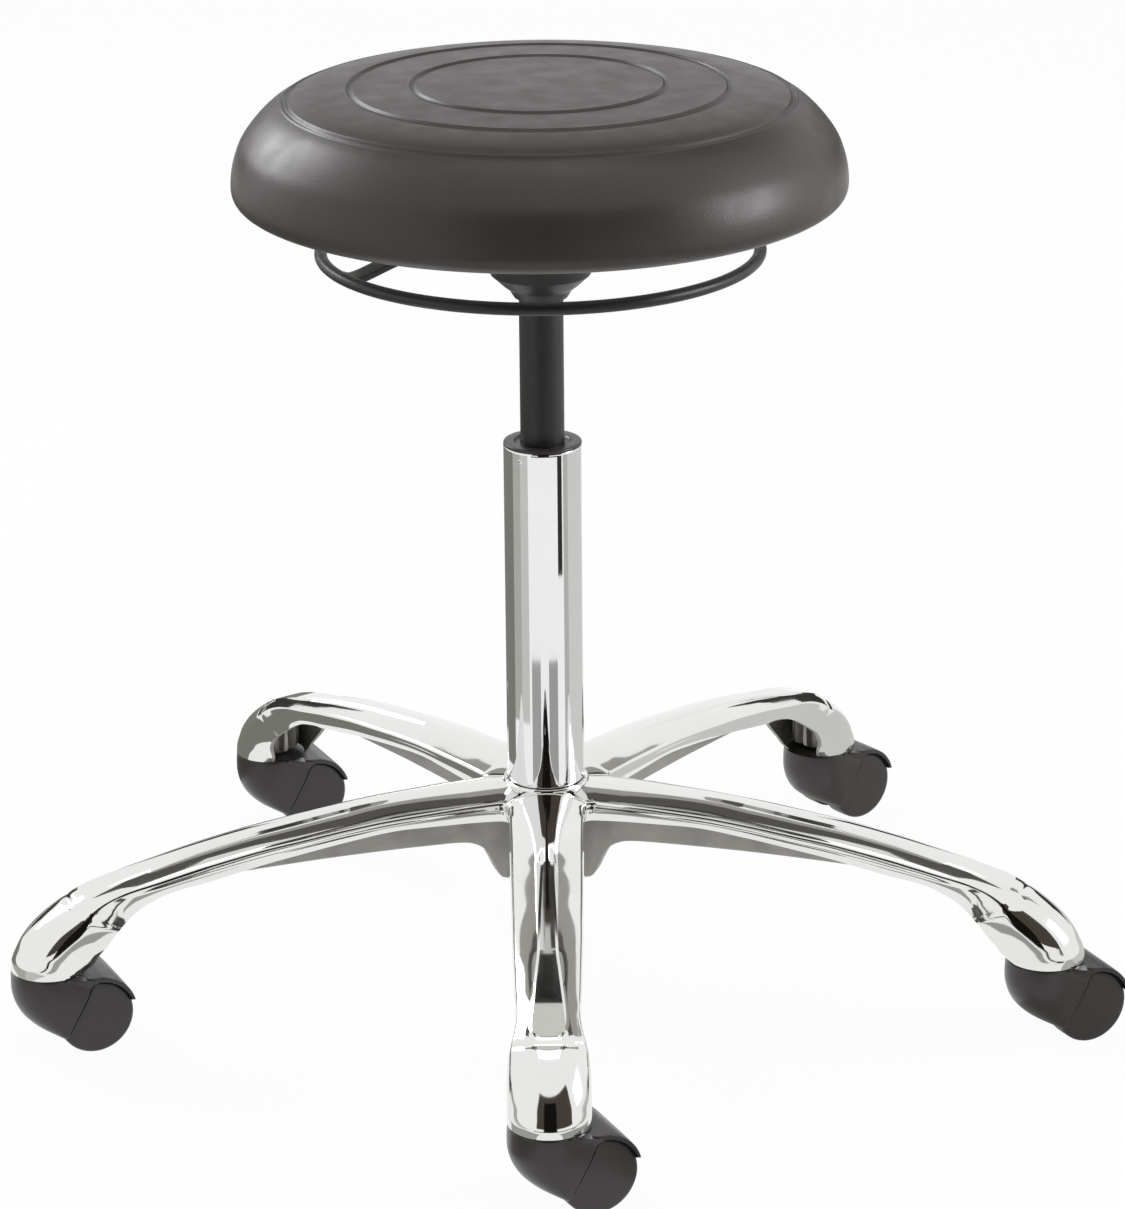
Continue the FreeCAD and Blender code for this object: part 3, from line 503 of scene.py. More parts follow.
# Each row: top reach and height, foot reach and height, half width, foot half width,
# half width of the raised face, its step, shoulder drop, roundness from 0 to 1.
LEG_ROWS = (
    (41, 139.5, 41, 122.6, 23.5, 22.7, 0.6, 0.0, 4.9, 0),
    (52, 139.5, 52, 123.4, 23.5, 22.7, 0.7, 0.0, 4.9, 0),
    (63, 139.5, 63, 124.0, 23.5, 22.7, 0.8, 0.0, 5.0, 0),
    (85, 139.2, 85, 124.6, 23.1, 22.3, 0.9, 0.0, 5.6, 0),
    (104, 138.6, 104, 125.0, 22.8, 22.0, 1.1, 0.1, 5.8, 0),
    (120, 137.8, 120, 124.0, 22.5, 21.7, 1.5, 0.6, 6.0, 0),
    (135, 136.5, 135, 122.2, 22.3, 21.5, 2.0, 1.1, 6.1, 0),
    (150, 135.0, 150, 120.3, 22.1, 21.3, 2.6, 1.3, 6.2, 0),
    (172, 132.3, 171, 117.2, 21.8, 21.0, 3.2, 1.4, 6.2, 0),
    (195, 129.5, 193, 113.8, 21.4, 20.6, 3.8, 1.4, 6.2, 0),
    (212, 126.8, 209, 110.8, 21.2, 20.4, 4.2, 1.4, 6.2, 0),
    (230, 123.5, 225.5, 107.6, 20.8, 20.0, 4.6, 1.4, 6.2, 0),
    (240, 121.5, 234.5, 105.8, 20.5, 19.7, 4.9, 1.4, 6.2, 0),
    (254, 118.3, 247, 104.0, 20.1, 19.3, 6.0, 1.4, 6.2, 0),
    (270, 114.5, 260, 101.0, 19.7, 18.9, 7.2, 1.4, 6.2, 0),
    (283, 111.4, 269, 97.2, 19.2, 18.4, 8.2, 1.4, 6.2, 0),
    (292, 108.8, 275, 94.2, 18.9, 18.1, 9.0, 1.4, 6.2, 0),
    (300, 106.2, 280, 91.0, 19.3, 18.6, 9.9, 1.4, 6.3, 0.03),
    (306, 104.1, 283.6, 88.5, 20.0, 19.4, 10.6, 1.4, 6.8, 0.1),
    (311, 102.1, 286.5, 86.3, 20.9, 20.4, 11.2, 1.4, 7.8, 0.25),
    (315.5, 100.1, 289.2, 84.2, 21.9, 21.3, 11.5, 1.1, 9.6, 0.48),
    (318.5, 98.0, 290.8, 82.7, 22.6, 22.0, 11.5, 0.1, 11.4, 0.64),
    (324, 95.8, 294, 80.0, 23.7, 22.7, 11.0, 0.0, 15.4, 0.85),
    (334, 89.5, 298.5, 74.0, 24.7, 22.4, 10.0, 0.0, 20.6, 0.97),
    (342, 83.0, 302, 69.0, 25.0, 20.6, 9.0, 0.0, 22.8, 1),
    (349, 75.0, 304.3, 65.0, 25.0, 18.3, 9.0, 0.0, 24.0, 1),
    (353, 68.0, 306, 61.0, 25.0, 16.4, 9.0, 0.0, 24.7, 1),
    (356.2, 61.0, 308.5, 57.6, 25.0, 14.6, 9.0, 0.0, 25.0, 1),
    (357, 55.0, 311, 55.0, 25.0, 13.6, 9.0, 0.0, 25.0, 1),
)
SHOULDER_POINTS = 18
EDGE_POINTS = 7
# How far the raised face falls from one of its points to the next, in mm.
FACE_FALL = 0.03
WALL_POINTS = 8
# Reach and lowest height of the rib under a leg.
RIB_ROWS = ((26, 74.6), (30, 75.2), (34, 77.5), (38, 86), (44, 97), (52, 102.2), (63, 104.2),
            (85, 105), (107, 105.5), (150, 105.8), (195, 105), (225, 104.3), (246, 104))


def leg_section(row, wall, step_width, edge_round):
    """Half of one cross-section: (across, depth) outside points and inside points."""
    top_reach, top, foot_reach, foot, half, foot_half, face, step, drop, roundness = row
    height = math.hypot(top_reach - foot_reach, top - foot)
    foot_of_step = (face + step_width, step + 0.12)
    edge_start = math.radians(30)
    bottom = drop + 1.6
    turn_in = (half - edge_round + edge_round * math.sin(edge_start),
               bottom - edge_round * math.cos(edge_start))
    run_length = turn_in[0] - foot_of_step[0]
    fall = turn_in[1] - foot_of_step[1]
    power = min(1.9, max(1.2, math.tan(edge_start) * run_length / max(0.1, fall)))
    shoulder_end = SHOULDER_POINTS - 1 - EDGE_POINTS
    outside = []
    for number in range(SHOULDER_POINTS):
        share = number / (SHOULDER_POINTS - 1)
        bend = share * math.pi / 2
        dome = (half * math.sin(bend), drop * (1 - math.cos(bend)))
        if number < 3:
            flat = (face * number / 2, FACE_FALL * number)
        elif number <= shoulder_end:
            run = (number - 3) / (shoulder_end - 3)
            flat = (foot_of_step[0] + run_length * run, foot_of_step[1] + fall * run ** power)
        else:
            turn = edge_start + (math.pi / 2 - edge_start) * (number - shoulder_end) / EDGE_POINTS
            flat = (half - edge_round + edge_round * math.sin(turn),
                    bottom - edge_round * math.cos(turn))
        outside.append([a * (1 - roundness) + b * roundness for a, b in zip(flat, dome)])
    side_start = outside[-1][1]
    closing = math.radians(57)
    for number in range(1, WALL_POINTS + 1):
        bend = closing * number / WALL_POINTS
        inward = (1 - math.cos(bend)) / (1 - math.cos(closing))
        along = math.sin(bend) / math.sin(closing)
        swell = 0.8 * math.sin(math.pi * along) * (1 - roundness)
        outside.append([half - (half - foot_half) * inward + swell,
                        side_start + (height - side_start) * along])
    inside = [(across * (1 - wall / half), wall + depth * (height - wall) / height)
              for across, depth in outside]
    return outside, inside


def hub_rows(settings):
    """Leg sections close to the column, where two legs flow into each other."""
    half_gap = math.radians(180 / len(CASTERS))
    fillet = settings.hub_fillet / MM
    first = LEG_ROWS[0]
    centre = (first[4] + fillet) / math.sin(half_gap)
    meet = (centre - fillet) * math.cos(half_gap)
    rows = []
    for reach in (24, 28, 32):
        rows.append((reach, reach * math.tan(half_gap)))
    for share in (0.0, 0.12, 0.3, 0.55, 0.8):
        reach = meet + (centre * math.cos(half_gap) - meet) * share
        inward = reach - centre * math.cos(half_gap)
        rows.append((reach, centre * math.sin(half_gap) - math.sqrt(fillet ** 2 - inward ** 2)))
    return [(reach, first[1], reach, first[3], half, half - 0.4, 0.5, 0.0,
             first[8] * half / first[4], 0) for reach, half in rows]


def leg_parts(settings):
    """One leg along +X: the polished skin, the inner skin, the rim at its end and the strips along
    the lower edges of its walls.
    """
    rows = hub_rows(settings) + flowed([list(row) for row in LEG_ROWS], 4)
    outer_rows = []
    inner_rows = []
    for row in rows:
        outside, inside = leg_section(row, settings.wall / MM, settings.face_step / MM,
                                      settings.edge_round / MM)
        top = Vector((row[0], 0, row[1]))
        down = (Vector((row[2], 0, row[3])) - top).normalized()
        for kept, section in ((outer_rows, outside), (inner_rows, inside)):
            right = [top + down * depth + Vector((0, across, 0)) for across, depth in section]
            left = [Vector((point.x, -point.y, point.z)) for point in right[:0:-1]]
            kept.append(left + right)
    edges = [loft([[rows_pair[0][end], rows_pair[1][end]] for rows_pair in
                   zip(outer_rows, inner_rows)]) for end in (0, -1)]
    rim = loft([outer_rows[-1], inner_rows[-1]])
    parts = [(loft(outer_rows), 0), (loft(inner_rows), 1), (rim, 0)]
    parts += [(edge, 1) for edge in edges]
    return parts


def rib_part():
    """The rib under a leg, rounded along its lower edges."""
    rows = []
    tops = flowed([[row[0], row[1]] for row in LEG_ROWS], 4)
    for reach, low in flowed([list(row) for row in RIB_ROWS], 3):
        top = min(tops, key=lambda row: abs(row[0] - reach))[1] - 4.5
        corners = [(-8.2, top, 0), (-7.4, low, 1.6), (7.4, low, 1.6), (8.2, top, 0)]
        rows.append([(reach, across, height) for across, height in rounded(corners)])
    return loft(rows, closed=True, ends=True)


def stem_boss(centre, low):
    """The ribbed boss in a leg's end that holds a caster's stem."""
    tube = lathe(rounded([(5.7, low + 1, 0), (12, low + 1, 1), (12.4, low + 17, 2),
                          (8.4, low + 24.5, 1), (5.7, low + 24.5, 0)]), 48)
    parts = [(moved(tube, Matrix.Translation(centre)), 1)]
    for heading in (110, 145, 180, 215, 250):
        rows = []
        for out, lift in ((10, 0), (15.5, 0), (18.4, 1.6), (19.2, 5)):
            rows.append([(out, -1.5, low + 3 + lift), (out, 1.5, low + 3 + lift),
                         (out, 1.1, low + 27 - lift), (out, -1.1, low + 27 - lift)])
        turn = Matrix.Rotation(math.radians(heading), 4, "Z")
        parts.append((moved(loft(rows, closed=True, ends=True),
                            Matrix.Translation(centre) @ turn), 1))
    return parts


class STOOL_OT_star_base(bpy.types.Operator):
    """Make the polished five-legged casting"""

    bl_idname = "stool.star_base"
    bl_label = "Five-legged base"

    def execute(self, context):
        settings = context.scene.stool_base
        low, high = box_mm("star_base")
        column_low, column_high = box_mm("outer_column")
        bore = (column_high.x - column_low.x) / 2 + 0.05
        hub_low = RIB_ROWS[0][1] - 0.6
        hub = rounded([(bore, hub_low, 0), (bore + 4.6, hub_low, 1.4), (bore + 3.4, 104, 0),
                       (bore + 3.0, high.z - 1.4, 0.8), (bore + 2.4, high.z, 0.6),
                       (bore + 1.1, high.z, 0.4), (bore + 1.1, high.z - 3, 0),
                       (bore, high.z - 3, 0)])
        parts = [(lathe(hub, 96), 0)]
        leg = leg_parts(settings)
        rib = rib_part()
        for number in CASTERS:
            stem = joint("caster_%d_swivel" % number)["pos_m"]
            reach = math.hypot(stem[0], stem[1]) / MM
            turn = Matrix.Rotation(math.atan2(stem[1], stem[0]), 4, "Z")
            for part, finish in leg + [(rib, 1)] + stem_boss(Vector((reach, 0, 0)), low.z):
                parts.append((moved(part, turn), finish))
        add_piece("star_casting", parts, [polished_aluminium(), cast_aluminium()],
                  "base", ["star_base"], sharp=28)
        return {"FINISHED"}


# ---- casters ----

# Side view of a caster, x along its trail and z up: outer point, shoulder point at full
# width, edge of the opening over the wheel, and half width. The stem stands at x = 0.
HOOD_ROWS = (
    (1.0, 12.0, 1.0, 12.5, 1.1, 12.9, 21.0),
    (-2.4, 13.0, 1.2, 13.7, 1.7, 13.9, 23.6),
    (-6.5, 14.8, 1.6, 15.6, 2.8, 15.7, 25.0),
    (-12.0, 18.0, 1.8, 19.0, 4.8, 19.2, 25.8),
    (-17.0, 22.6, 1.4, 23.3, 7.5, 23.8, 26.2),
    (-20.6, 27.5, 0.6, 27.9, 10.0, 28.2, 26.4),
    (-23.4, 33.5, 0.2, 33.2, 12.7, 32.8, 26.4),
    (-25.0, 40.0, 0.0, 38.8, 15.2, 36.9, 26.3),
    (-25.3, 47.0, 0.0, 45.8, 17.4, 40.7, 25.9),
    (-25.0, 52.6, 0.0, 51.6, 18.8, 43.2, 25.3),
    (-24.4, 54.3, 0.0, 54.0, 19.6, 44.4, 24.9),
    (-18.0, 54.4, 4.0, 54.4, 20.6, 45.8, 25.0),
    (-8.0, 54.4, 9.0, 54.4, 21.8, 46.9, 25.3),
    (4.0, 54.4, 13.0, 54.2, 23.5, 47.6, 25.8),
)
FENDER_ANGLES = (84, 76, 66, 56, 46, 36, 27, 20, 17)
NOSE_POINTS = 12
# The groove in the hood along the edge of the opening over each disc; its faces carry the painted
# shade black.
REBATE_WIDTH = 1.6
REBATE_DEPTH = 1.2


def hood_section(nose, shoulder, opening, half, corner):
    """One section across the hood from its left opening over the outside to the right."""
    side = []
    for number in range(NOSE_POINTS + 1):
        bend = math.pi / 2 * number / NOSE_POINTS
        across = half * math.sin(bend) ** corner
        share = 1 - math.cos(bend) ** corner
        point = nose.lerp(shoulder, share)
        side.append(Vector((point.x, across, point.z)))
    slant = shoulder - opening
    lip = opening + slant * min(0.6, REBATE_WIDTH / slant.length)
    middle = shoulder.lerp(lip, 0.5)
    side += [Vector((middle.x, half, middle.z)), Vector((lip.x, half, lip.z)),
             Vector((lip.x, half - REBATE_DEPTH, lip.z)),
             Vector((opening.x, half - REBATE_DEPTH, opening.z))]
    return [Vector((point.x, -point.y, point.z)) for point in side[:0:-1]] + side


def hood_rows(axle, radius):
    """All the hood's sections, from its lowest tip over the top to the fender's end."""
    rows = [list(row) + [1.0] for row in HOOD_ROWS]
    for index, row in enumerate(rows[-3:]):
        row[7] = 0.75 - 0.15 * index
    for number, angle in enumerate(FENDER_ANGLES):
        turn = math.radians(angle)
        share = number / (len(FENDER_ANGLES) - 1)
        outer = radius + 2.4 - 0.5 * share
        inner = radius - 2.3 + 1.6 * share ** 6
        rows.append([axle.x + outer * math.cos(turn), axle.z + outer * math.sin(turn),
                     axle.x + (outer - 0.8) * math.cos(turn),
                     axle.z + (outer - 0.8) * math.sin(turn),
                     axle.x + inner * math.cos(turn), axle.z + inner * math.sin(turn),
                     26.2 - 0.8 * share, 0.42])
    sections = []
    for row in flowed(rows, 3):
        nose, shoulder, opening = (Vector((row[place], 0, row[place + 1]))
                                   for place in (0, 2, 4))
        sections.append(hood_section(nose, shoulder, opening, row[6], row[7]))
    return sections


def hood_web(half, top):
    """The plate between the two discs that carries the axle."""
    outline = rounded([(-20, 44, 2), (-18, 30, 4), (-10, 20, 4), (1, 15, 3), (10, 17, 4),
                       (18, 19, 4), (28, 18, 5), (30, 26, 5), (34, 36, 5), (44, 40, 2),
                       (38, 47, 3), (28, 51, 3), (14, top - 1, 2), (-18, top - 1, 2)])
    rows = []
    for across in (-half, -half + 0.6, half - 0.6, half):
        shrink = 0.985 if abs(across) == half else 1.0
        rows.append([(12 + (x - 12) * shrink, across, 34 + (z - 34) * shrink)
                     for x, z in outline])
    return loft(rows, closed=True, ends=True)


def disc_part(radius, inner, outer, edge, side):
    """One disc: closed domed face outside, tread, and a recessed inner face."""
    outline = rounded([(0, outer, 0), (radius * 0.7, outer - 0.25, 4),
                       (radius - 0.3, outer - 0.9, edge), (radius, outer - 8, 1),
                       (radius, inner + 0.3, 1.2), (radius - 3, inner, 0.6),
                       (radius - 4, inner + 4, 0.8), (9, inner + 4, 0.8), (8, inner, 0.6),
                       (3.1, inner, 0)], closed=False, steps=6)
    upright = lathe(outline, 96, closed=False)
    return moved(upright, Matrix.Rotation(-math.pi / 2 * side, 4, "X"))


class STOOL_OT_casters(bpy.types.Operator):
    """Make the hood and the two discs of every caster"""

    bl_idname = "stool.casters"
    bl_label = "Casters"

    def execute(self, context):
        settings = context.scene.stool_casters
        nylon = moulded_nylon()
        for number in CASTERS:
            name = "caster_%d" % number
            stem = Vector(joint(name + "_swivel")["pos_m"]) / MM
            roll = joint(name + "_left_wheel_roll")
            axle = Vector(roll["pos_m"]) / MM
            trail = axle - stem
            yaw = Matrix.Rotation(math.atan2(trail.y, trail.x), 4, "Z")
            low, high = box_mm(name + "_wheel_left")
            radius = (high.z - low.z) / 2
            top = box_mm(name + "_hood")[1].z
            local_axle = Vector((math.hypot(trail.x, trail.y), 0, axle.z))
            place = Matrix.Translation((stem.x, stem.y, 0)) @ yaw
            rows = hood_rows(local_axle, radius)
            # The strips along both openings get the painted shade black, standing in for the shadow
            # between hood and discs.
            shell = [(moved(loft([row[2:-2] for row in rows]), place), 0),
                     (moved(loft([row[:3] for row in rows]), place), 1),
                     (moved(loft([row[-3:] for row in rows]), place), 1)]
            hood = add_piece(name + "_shell", shell, [nylon, painted_shade_black()],
                             name + "_fork", [name + "_hood"], sharp=40)
            highest = max(hood.data.polygons, key=lambda face: face.center.z)
            if highest.normal.z < 0:
                hood.data.flip_normals()
            thicken = hood.modifiers.new("shell thickness", "SOLIDIFY")
            thicken.thickness = settings.shell
            thicken.offset = -1
            web = moved(hood_web(6.4, top), place)
            add_piece(name + "_web", [(web, 0)], [nylon], name + "_fork", sharp=40)
            for side, word in ((1, "left"), (-1, "right")):
                disc = disc_part(radius - 0.1, 7.3, 24.1, settings.disc_edge / MM, side)
                spot = Matrix.Translation((stem.x, stem.y, 0)) @ yaw @ Matrix.Translation(local_axle)
                add_piece("%s_disc_%s" % (name, word), [(moved(disc, spot), 0)], [nylon],
                          "%s_%s_wheel" % (name, word),
                          ["%s_wheel_%s" % (name, word)], sharp=35)
        return {"FINISHED"}


# ---- column and lift ----

def crimped_tube(radius, bore, low, high, edge, crimp_turn, crimp_drop, depth):
    """The column tube, with more points round its crimp, which is pressed inwards."""
    levels = [low, low + edge * 0.3, low + edge, low + 40, low + 120, low + 200, high - 25]
    levels += [high - crimp_drop + 0.25 * step for step in range(-10, 11)]
    levels += [high - 2, high - edge, high - edge * 0.3, high]
    reach = 3.0 / radius
    turns = [crimp_turn + reach + (math.tau - 2 * reach) * step / 120 for step in range(120)]
    turns += [crimp_turn - reach + 2 * reach * step / 24 for step in range(24)]
    rows = []
    for level in levels:
        inset = max(0.0, edge - min(level - low, high - level))
        around = radius - edge + math.sqrt(max(0.0, edge ** 2 - inset ** 2))
        row = []
        for turn in turns:
            away = math.hypot((turn - crimp_turn) * radius, level - (high - crimp_drop))
            dent = depth * max(0.0, 1 - (away / 1.7) ** 2) ** 0.5 if away < 1.7 else 0.0
            row.append(((around - dent) * math.cos(turn), (around - dent) * math.sin(turn), level))
        rows.append(row)
    for level in (high - 0.1, low + 3):
        rows.append([(bore * math.cos(turn), bore * math.sin(turn), level) for turn in turns])
    return loft(rows + [rows[0]], closed=True)


class STOOL_OT_column(bpy.types.Operator):
    """Make the plated tube, its bushing and the black sliding cylinder"""

    bl_idname = "stool.column"
    bl_label = "Column and lift"

    def execute(self, context):
        settings = context.scene.stool_column
        edge = settings.edge / MM
        low, high = box_mm("outer_column")
        radius = (high.x - low.x) / 2
        tube = crimped_tube(radius, radius - 1.5, low.z, high.z, edge, math.radians(-125), 6.0,
                            settings.crimp_depth / MM)
        add_piece("column_tube", [(tube, 0)], [chrome()], "base",
                  ["outer_column"], sharp=40)

        cylinder_low, cylinder_high = box_mm("gas_cylinder")
        slide = (cylinder_high.x - cylinder_low.x) / 2
        bush_low, bush_high = box_mm("guide_bushing")
        bushing = rounded([
            (slide + 0.05, bush_low.z, 0), (radius - 1.6, bush_low.z, 0.6),
            (radius - 1.6, high.z + 0.05, 0), (radius, high.z + 0.05, 0.3),
            (radius - 0.2, bush_high.z, 1.0), (slide + 4.2, bush_high.z, 0.6),
            (slide + 3.2, bush_high.z - 1.4, 0.4), (slide + 0.05, bush_high.z - 1.4, 0.3)])
        add_piece("column_bushing", [(lathe(bushing, 96), 0)], [moulded_nylon()],
                  "base", ["guide_bushing"])

        sleeve = rounded([
            (slide - 1.5, cylinder_low.z, 0), (slide, cylinder_low.z, 0.8),
            (slide, cylinder_high.z, 0.8), (slide - 1.5, cylinder_high.z, 0)])
        add_piece("lift_cylinder", [(lathe(sleeve, 96), 0)], [powder_coat()],
                  "seat", ["gas_cylinder"])
        return {"FINISHED"}


# ---- lift ring ----

ARM_WIDTH = 15.0
ARM_THICKNESS = 4.0

def bead_part(centre, along, across, up, size):
    """A small weld bead, longer along the joint and rippled across."""
    rows = []
    for step in range(9):
        share = -1 + 2 * step / 8
        girth = math.sqrt(max(0.0, 1 - share ** 2)) * (1 + 0.12 * math.cos(step * math.pi))
        row = []
        for turn in range(12):
            angle = math.tau * turn / 12
            offset = across * math.cos(angle) * girth + up * math.sin(angle) * girth
            row.append(centre + along * share * size * 1.9 + offset * size * 0.55)
        rows.append(row)
    return loft(rows, closed=True)


class STOOL_OT_release(bpy.types.Operator):
    """Make the round lift ring and the flat arm welded across it"""

    bl_idname = "stool.release"
    bl_label = "Lift ring"

    def execute(self, context):
        settings = context.scene.stool_release
        low, high = box_mm("lever_ring")
        rod = (high.z - low.z) / 2
        radius = (high.x - low.x) / 2 - rod
        level = (high.z + low.z) / 2
        circle = [(radius + rod * math.cos(math.tau * step / 20),
                   level + rod * math.sin(math.tau * step / 20)) for step in range(20)]
        parts = [(lathe(circle, 192), 0)]
        hinge_axis = Vector(joint("lever_tilt")["axis"])
        along = Vector((hinge_axis.y, -hinge_axis.x, 0)).normalized()
        across = Vector((-along.y, along.x, 0))
        up = Vector((0, 0, 1))
        for side in (1, -1):
            for edge in (1, -1):
                spot = along * side * (radius - rod - 0.4) + across * edge * 6.2 + up * level
                parts.append((bead_part(spot + up * 0.6, across, along, up,
                                        settings.bead / MM), 0))
        add_piece("lift_ring", parts, [powder_coat()], "release_lever",
                  ["lever_ring"], sharp=60)

        crest = box_mm("lever_arm")[1].z - ARM_THICKNESS / 2
        end = radius - rod - 0.3
        bend = end - 33
        line = flowed([(-end, level), (-end + 8, level + 0.8), (-bend, crest - 0.2),
                       (-bend + 12, crest), (0, crest), (bend - 12, crest), (bend, crest - 0.2),
                       (end - 8, level + 0.8), (end, level)], 6)
        edge = settings.arm_edge / MM
        section = rounded([(side * ARM_WIDTH / 2, lift * ARM_THICKNESS / 2, edge)
                           for side, lift in ((-1, -1), (1, -1), (1, 1), (-1, 1))])
        rows = [[along * reach + across * side + up * (height + lift) for side, lift in section]
                for reach, height in line]
        add_piece("lift_arm", [(loft(rows, closed=True, ends=True), 0)], [powder_coat()],
                  "release_lever", ["lever_arm"], sharp=35)
        return {"FINISHED"}


# ---- CAD nodes that keep their shape ----

def kept_finishes():
    """The finish and the bevel in mm of each CAD node that stays."""
    kept = {
        "seat_hub": (powder_coat(), 0.6), "seat_plate": (powder_coat(), 0.4),
        "seat_pan": (birch_plywood(), 0.5), "seat_bolts": (zinc_plate(), 0.3),
        "bolt_washers": (zinc_plate(), 0.2), "tee_nuts": (zinc_plate(), 0.15),
        "lower_bearing_washer": (ground_steel(), 0.1),
        "upper_bearing_washer": (ground_steel(), 0.1),
        "bearing_balls": (ground_steel(), 0.0), "bearing_cage": (natural_nylon(), 0.1),
        "piston_rod": (chrome(), 0.2), "piston": (ground_steel(), 0.2),
        "piston_seal": (rubber(), 0.2), "rubber_buffer": (rubber(), 0.6),
        "retaining_clip": (zinc_plate(), 0.15), "valve_body": (ground_steel(), 0.2),
        "valve_button": (ground_steel(), 0.2), "rod_guide": (natural_nylon(), 0.2),
        "rod_seal": (rubber(), 0.2),
    }
    for number in CASTERS:
        kept["caster_%d_stem" % number] = (zinc_plate(), 0.2)
        kept["caster_%d_grip_ring" % number] = (zinc_plate(), 0.1)
        kept["caster_%d_axle" % number] = (zinc_plate(), 0.2)
    return kept


class STOOL_OT_kept_parts(bpy.types.Operator):
    """Finish the CAD parts that keep their own shape"""

    bl_idname = "stool.kept_parts"
    bl_label = "Fasteners, hub and inner parts"

    def execute(self, context):
        for node, (finish, bevel) in kept_finishes().items():
            part = frame["nodes"][node]
            part.data.materials.clear()
            part.data.materials.append(finish)
            for face in part.data.polygons:
                face.material_index = 0
            part.data.shade_smooth()
            part.data.set_sharp_from_angle(angle=math.radians(30))
            if bevel:
                edges = part.modifiers.new("broken edges", "BEVEL")
                edges.width = bevel * MM
                edges.segments = 2
                edges.limit_method = "ANGLE"
                edges.angle_limit = math.radians(40)
                edges.harden_normals = False
        return {"FINISHED"}


# ---- studio ----

def glossy_only(card):
    """A card that only mirrors see: it casts no shadow and gives no light."""
    card.visible_camera = False
    card.visible_diffuse = False
    card.visible_shadow = False
    card.visible_transmission = False


def card_finish(name, hex_colour):
    """A plain studio card that glows at its own colour and is seen only in reflections, as a painted
    reflection in the metal.
    """
    material, tree = empty_material(name)
    glow = add_node(tree, "ShaderNodeEmission",
                    {"Color": (*linear(hex_colour), 1), "Strength": 1.0})
    add_node(tree, "ShaderNodeOutputMaterial", {"Surface": glow.outputs["Emission"]})
    return material


def add_card(name, rows, hex_colour):
    """A stage card from rows of points in metres."""
    points, faces = loft(rows)
    mesh = bpy.data.meshes.new(name)
    mesh.from_pydata(points, [], faces)
    mesh.materials.append(card_finish(name + "_paint", hex_colour))
    card = bpy.data.objects.new(name, mesh)
    bpy.context.scene.collection.objects.link(card)
    glossy_only(card)
    return card


def floor_card(name, start, end, near, far, hex_colour):
    """A flat card just over the floor between two headings, measured from the camera side."""
    over_floor = Vector((0, 0, 0.0004))
    rows = []
    for step in range(13):
        heading = math.radians(start + (end - start) * step / 12)
        away = Vector((math.sin(heading), -math.cos(heading), 0))
        rows.append([away * near + over_floor, away * far + over_floor])
    return add_card(name, rows, hex_colour)


def far_card(name, start, end, low, high, distance, hex_colour):
    """A far curved card between two headings and two heights in degrees."""
    rows = []
    for step in range(13):
        heading = math.radians(start + (end - start) * step / 12)
        row = []
        for part in range(7):
            lift = math.radians(low + (high - low) * part / 6)
            row.append(Vector((math.sin(heading) * math.cos(lift),
                               -math.cos(heading) * math.cos(lift),
                               math.sin(lift))) * distance)
        rows.append(row)
    return add_card(name, rows, hex_colour)


def add_lamp(name, place, target, width, height, power):
    """A large soft lamp aimed at a point."""
    lamp = bpy.data.lights.new(name, "AREA")
    lamp.shape = "RECTANGLE"
    lamp.size = width
    lamp.size_y = height
    lamp.energy = power
    holder = bpy.data.objects.new(name, lamp)
    holder.location = place
    holder.rotation_euler = (Vector(target) - Vector(place)).to_track_quat("-Z", "Y").to_euler()
    bpy.context.scene.collection.objects.link(holder)
    return holder


def seen_directly(tree):
    """A number that is 1 for camera, mirror and see-through rays, and 0 for other light."""
    path = add_node(tree, "ShaderNodeLightPath")
    both = add_node(tree, "ShaderNodeMath", {
        0: path.outputs["Is Camera Ray"], 1: path.outputs["Is Glossy Ray"]}, operation="MAXIMUM")
    every = add_node(tree, "ShaderNodeMath", {
        0: both.outputs[0], 1: path.outputs["Is Transmission Ray"]}, operation="MAXIMUM")
    return every.outputs[0]


def floor_paint():
    """Matte white floor: glows plain white where seen, with a trace of the real shadow."""
    material, tree = empty_material("matte_white_floor")
    paint = add_node(tree, "ShaderNodeBsdfDiffuse", {"Color": (*linear("#f4f4f2"), 1)})
    glow = add_node(tree, "ShaderNodeEmission", {"Color": (1, 1, 1, 1), "Strength": 1.0})
    seen = add_node(tree, "ShaderNodeMath", {0: seen_directly(tree), 1: 0.96},
                    operation="MULTIPLY")
    mixed = add_node(tree, "ShaderNodeMixShader", {
        0: seen.outputs[0], 1: paint.outputs["BSDF"], 2: glow.outputs["Emission"]})
    add_node(tree, "ShaderNodeOutputMaterial", {"Surface": mixed.outputs["Shader"]})
    return material


def set_world(fill):
    """White all round where seen, and a softer even light on the object."""
    world = bpy.data.worlds.new("white_studio")
    bpy.context.scene.world = world
    world.use_nodes = True
    tree = world.node_tree
    tree.nodes.clear()
    strength = add_node(tree, "ShaderNodeMapRange", {
        "Value": seen_directly(tree), "To Min": fill, "To Max": 1.0})
    sky = add_node(tree, "ShaderNodeBackground", {
        "Color": (1, 1, 1, 1), "Strength": strength.outputs["Result"]})
    add_node(tree, "ShaderNodeOutputWorld", {"Surface": sky.outputs["Background"]})


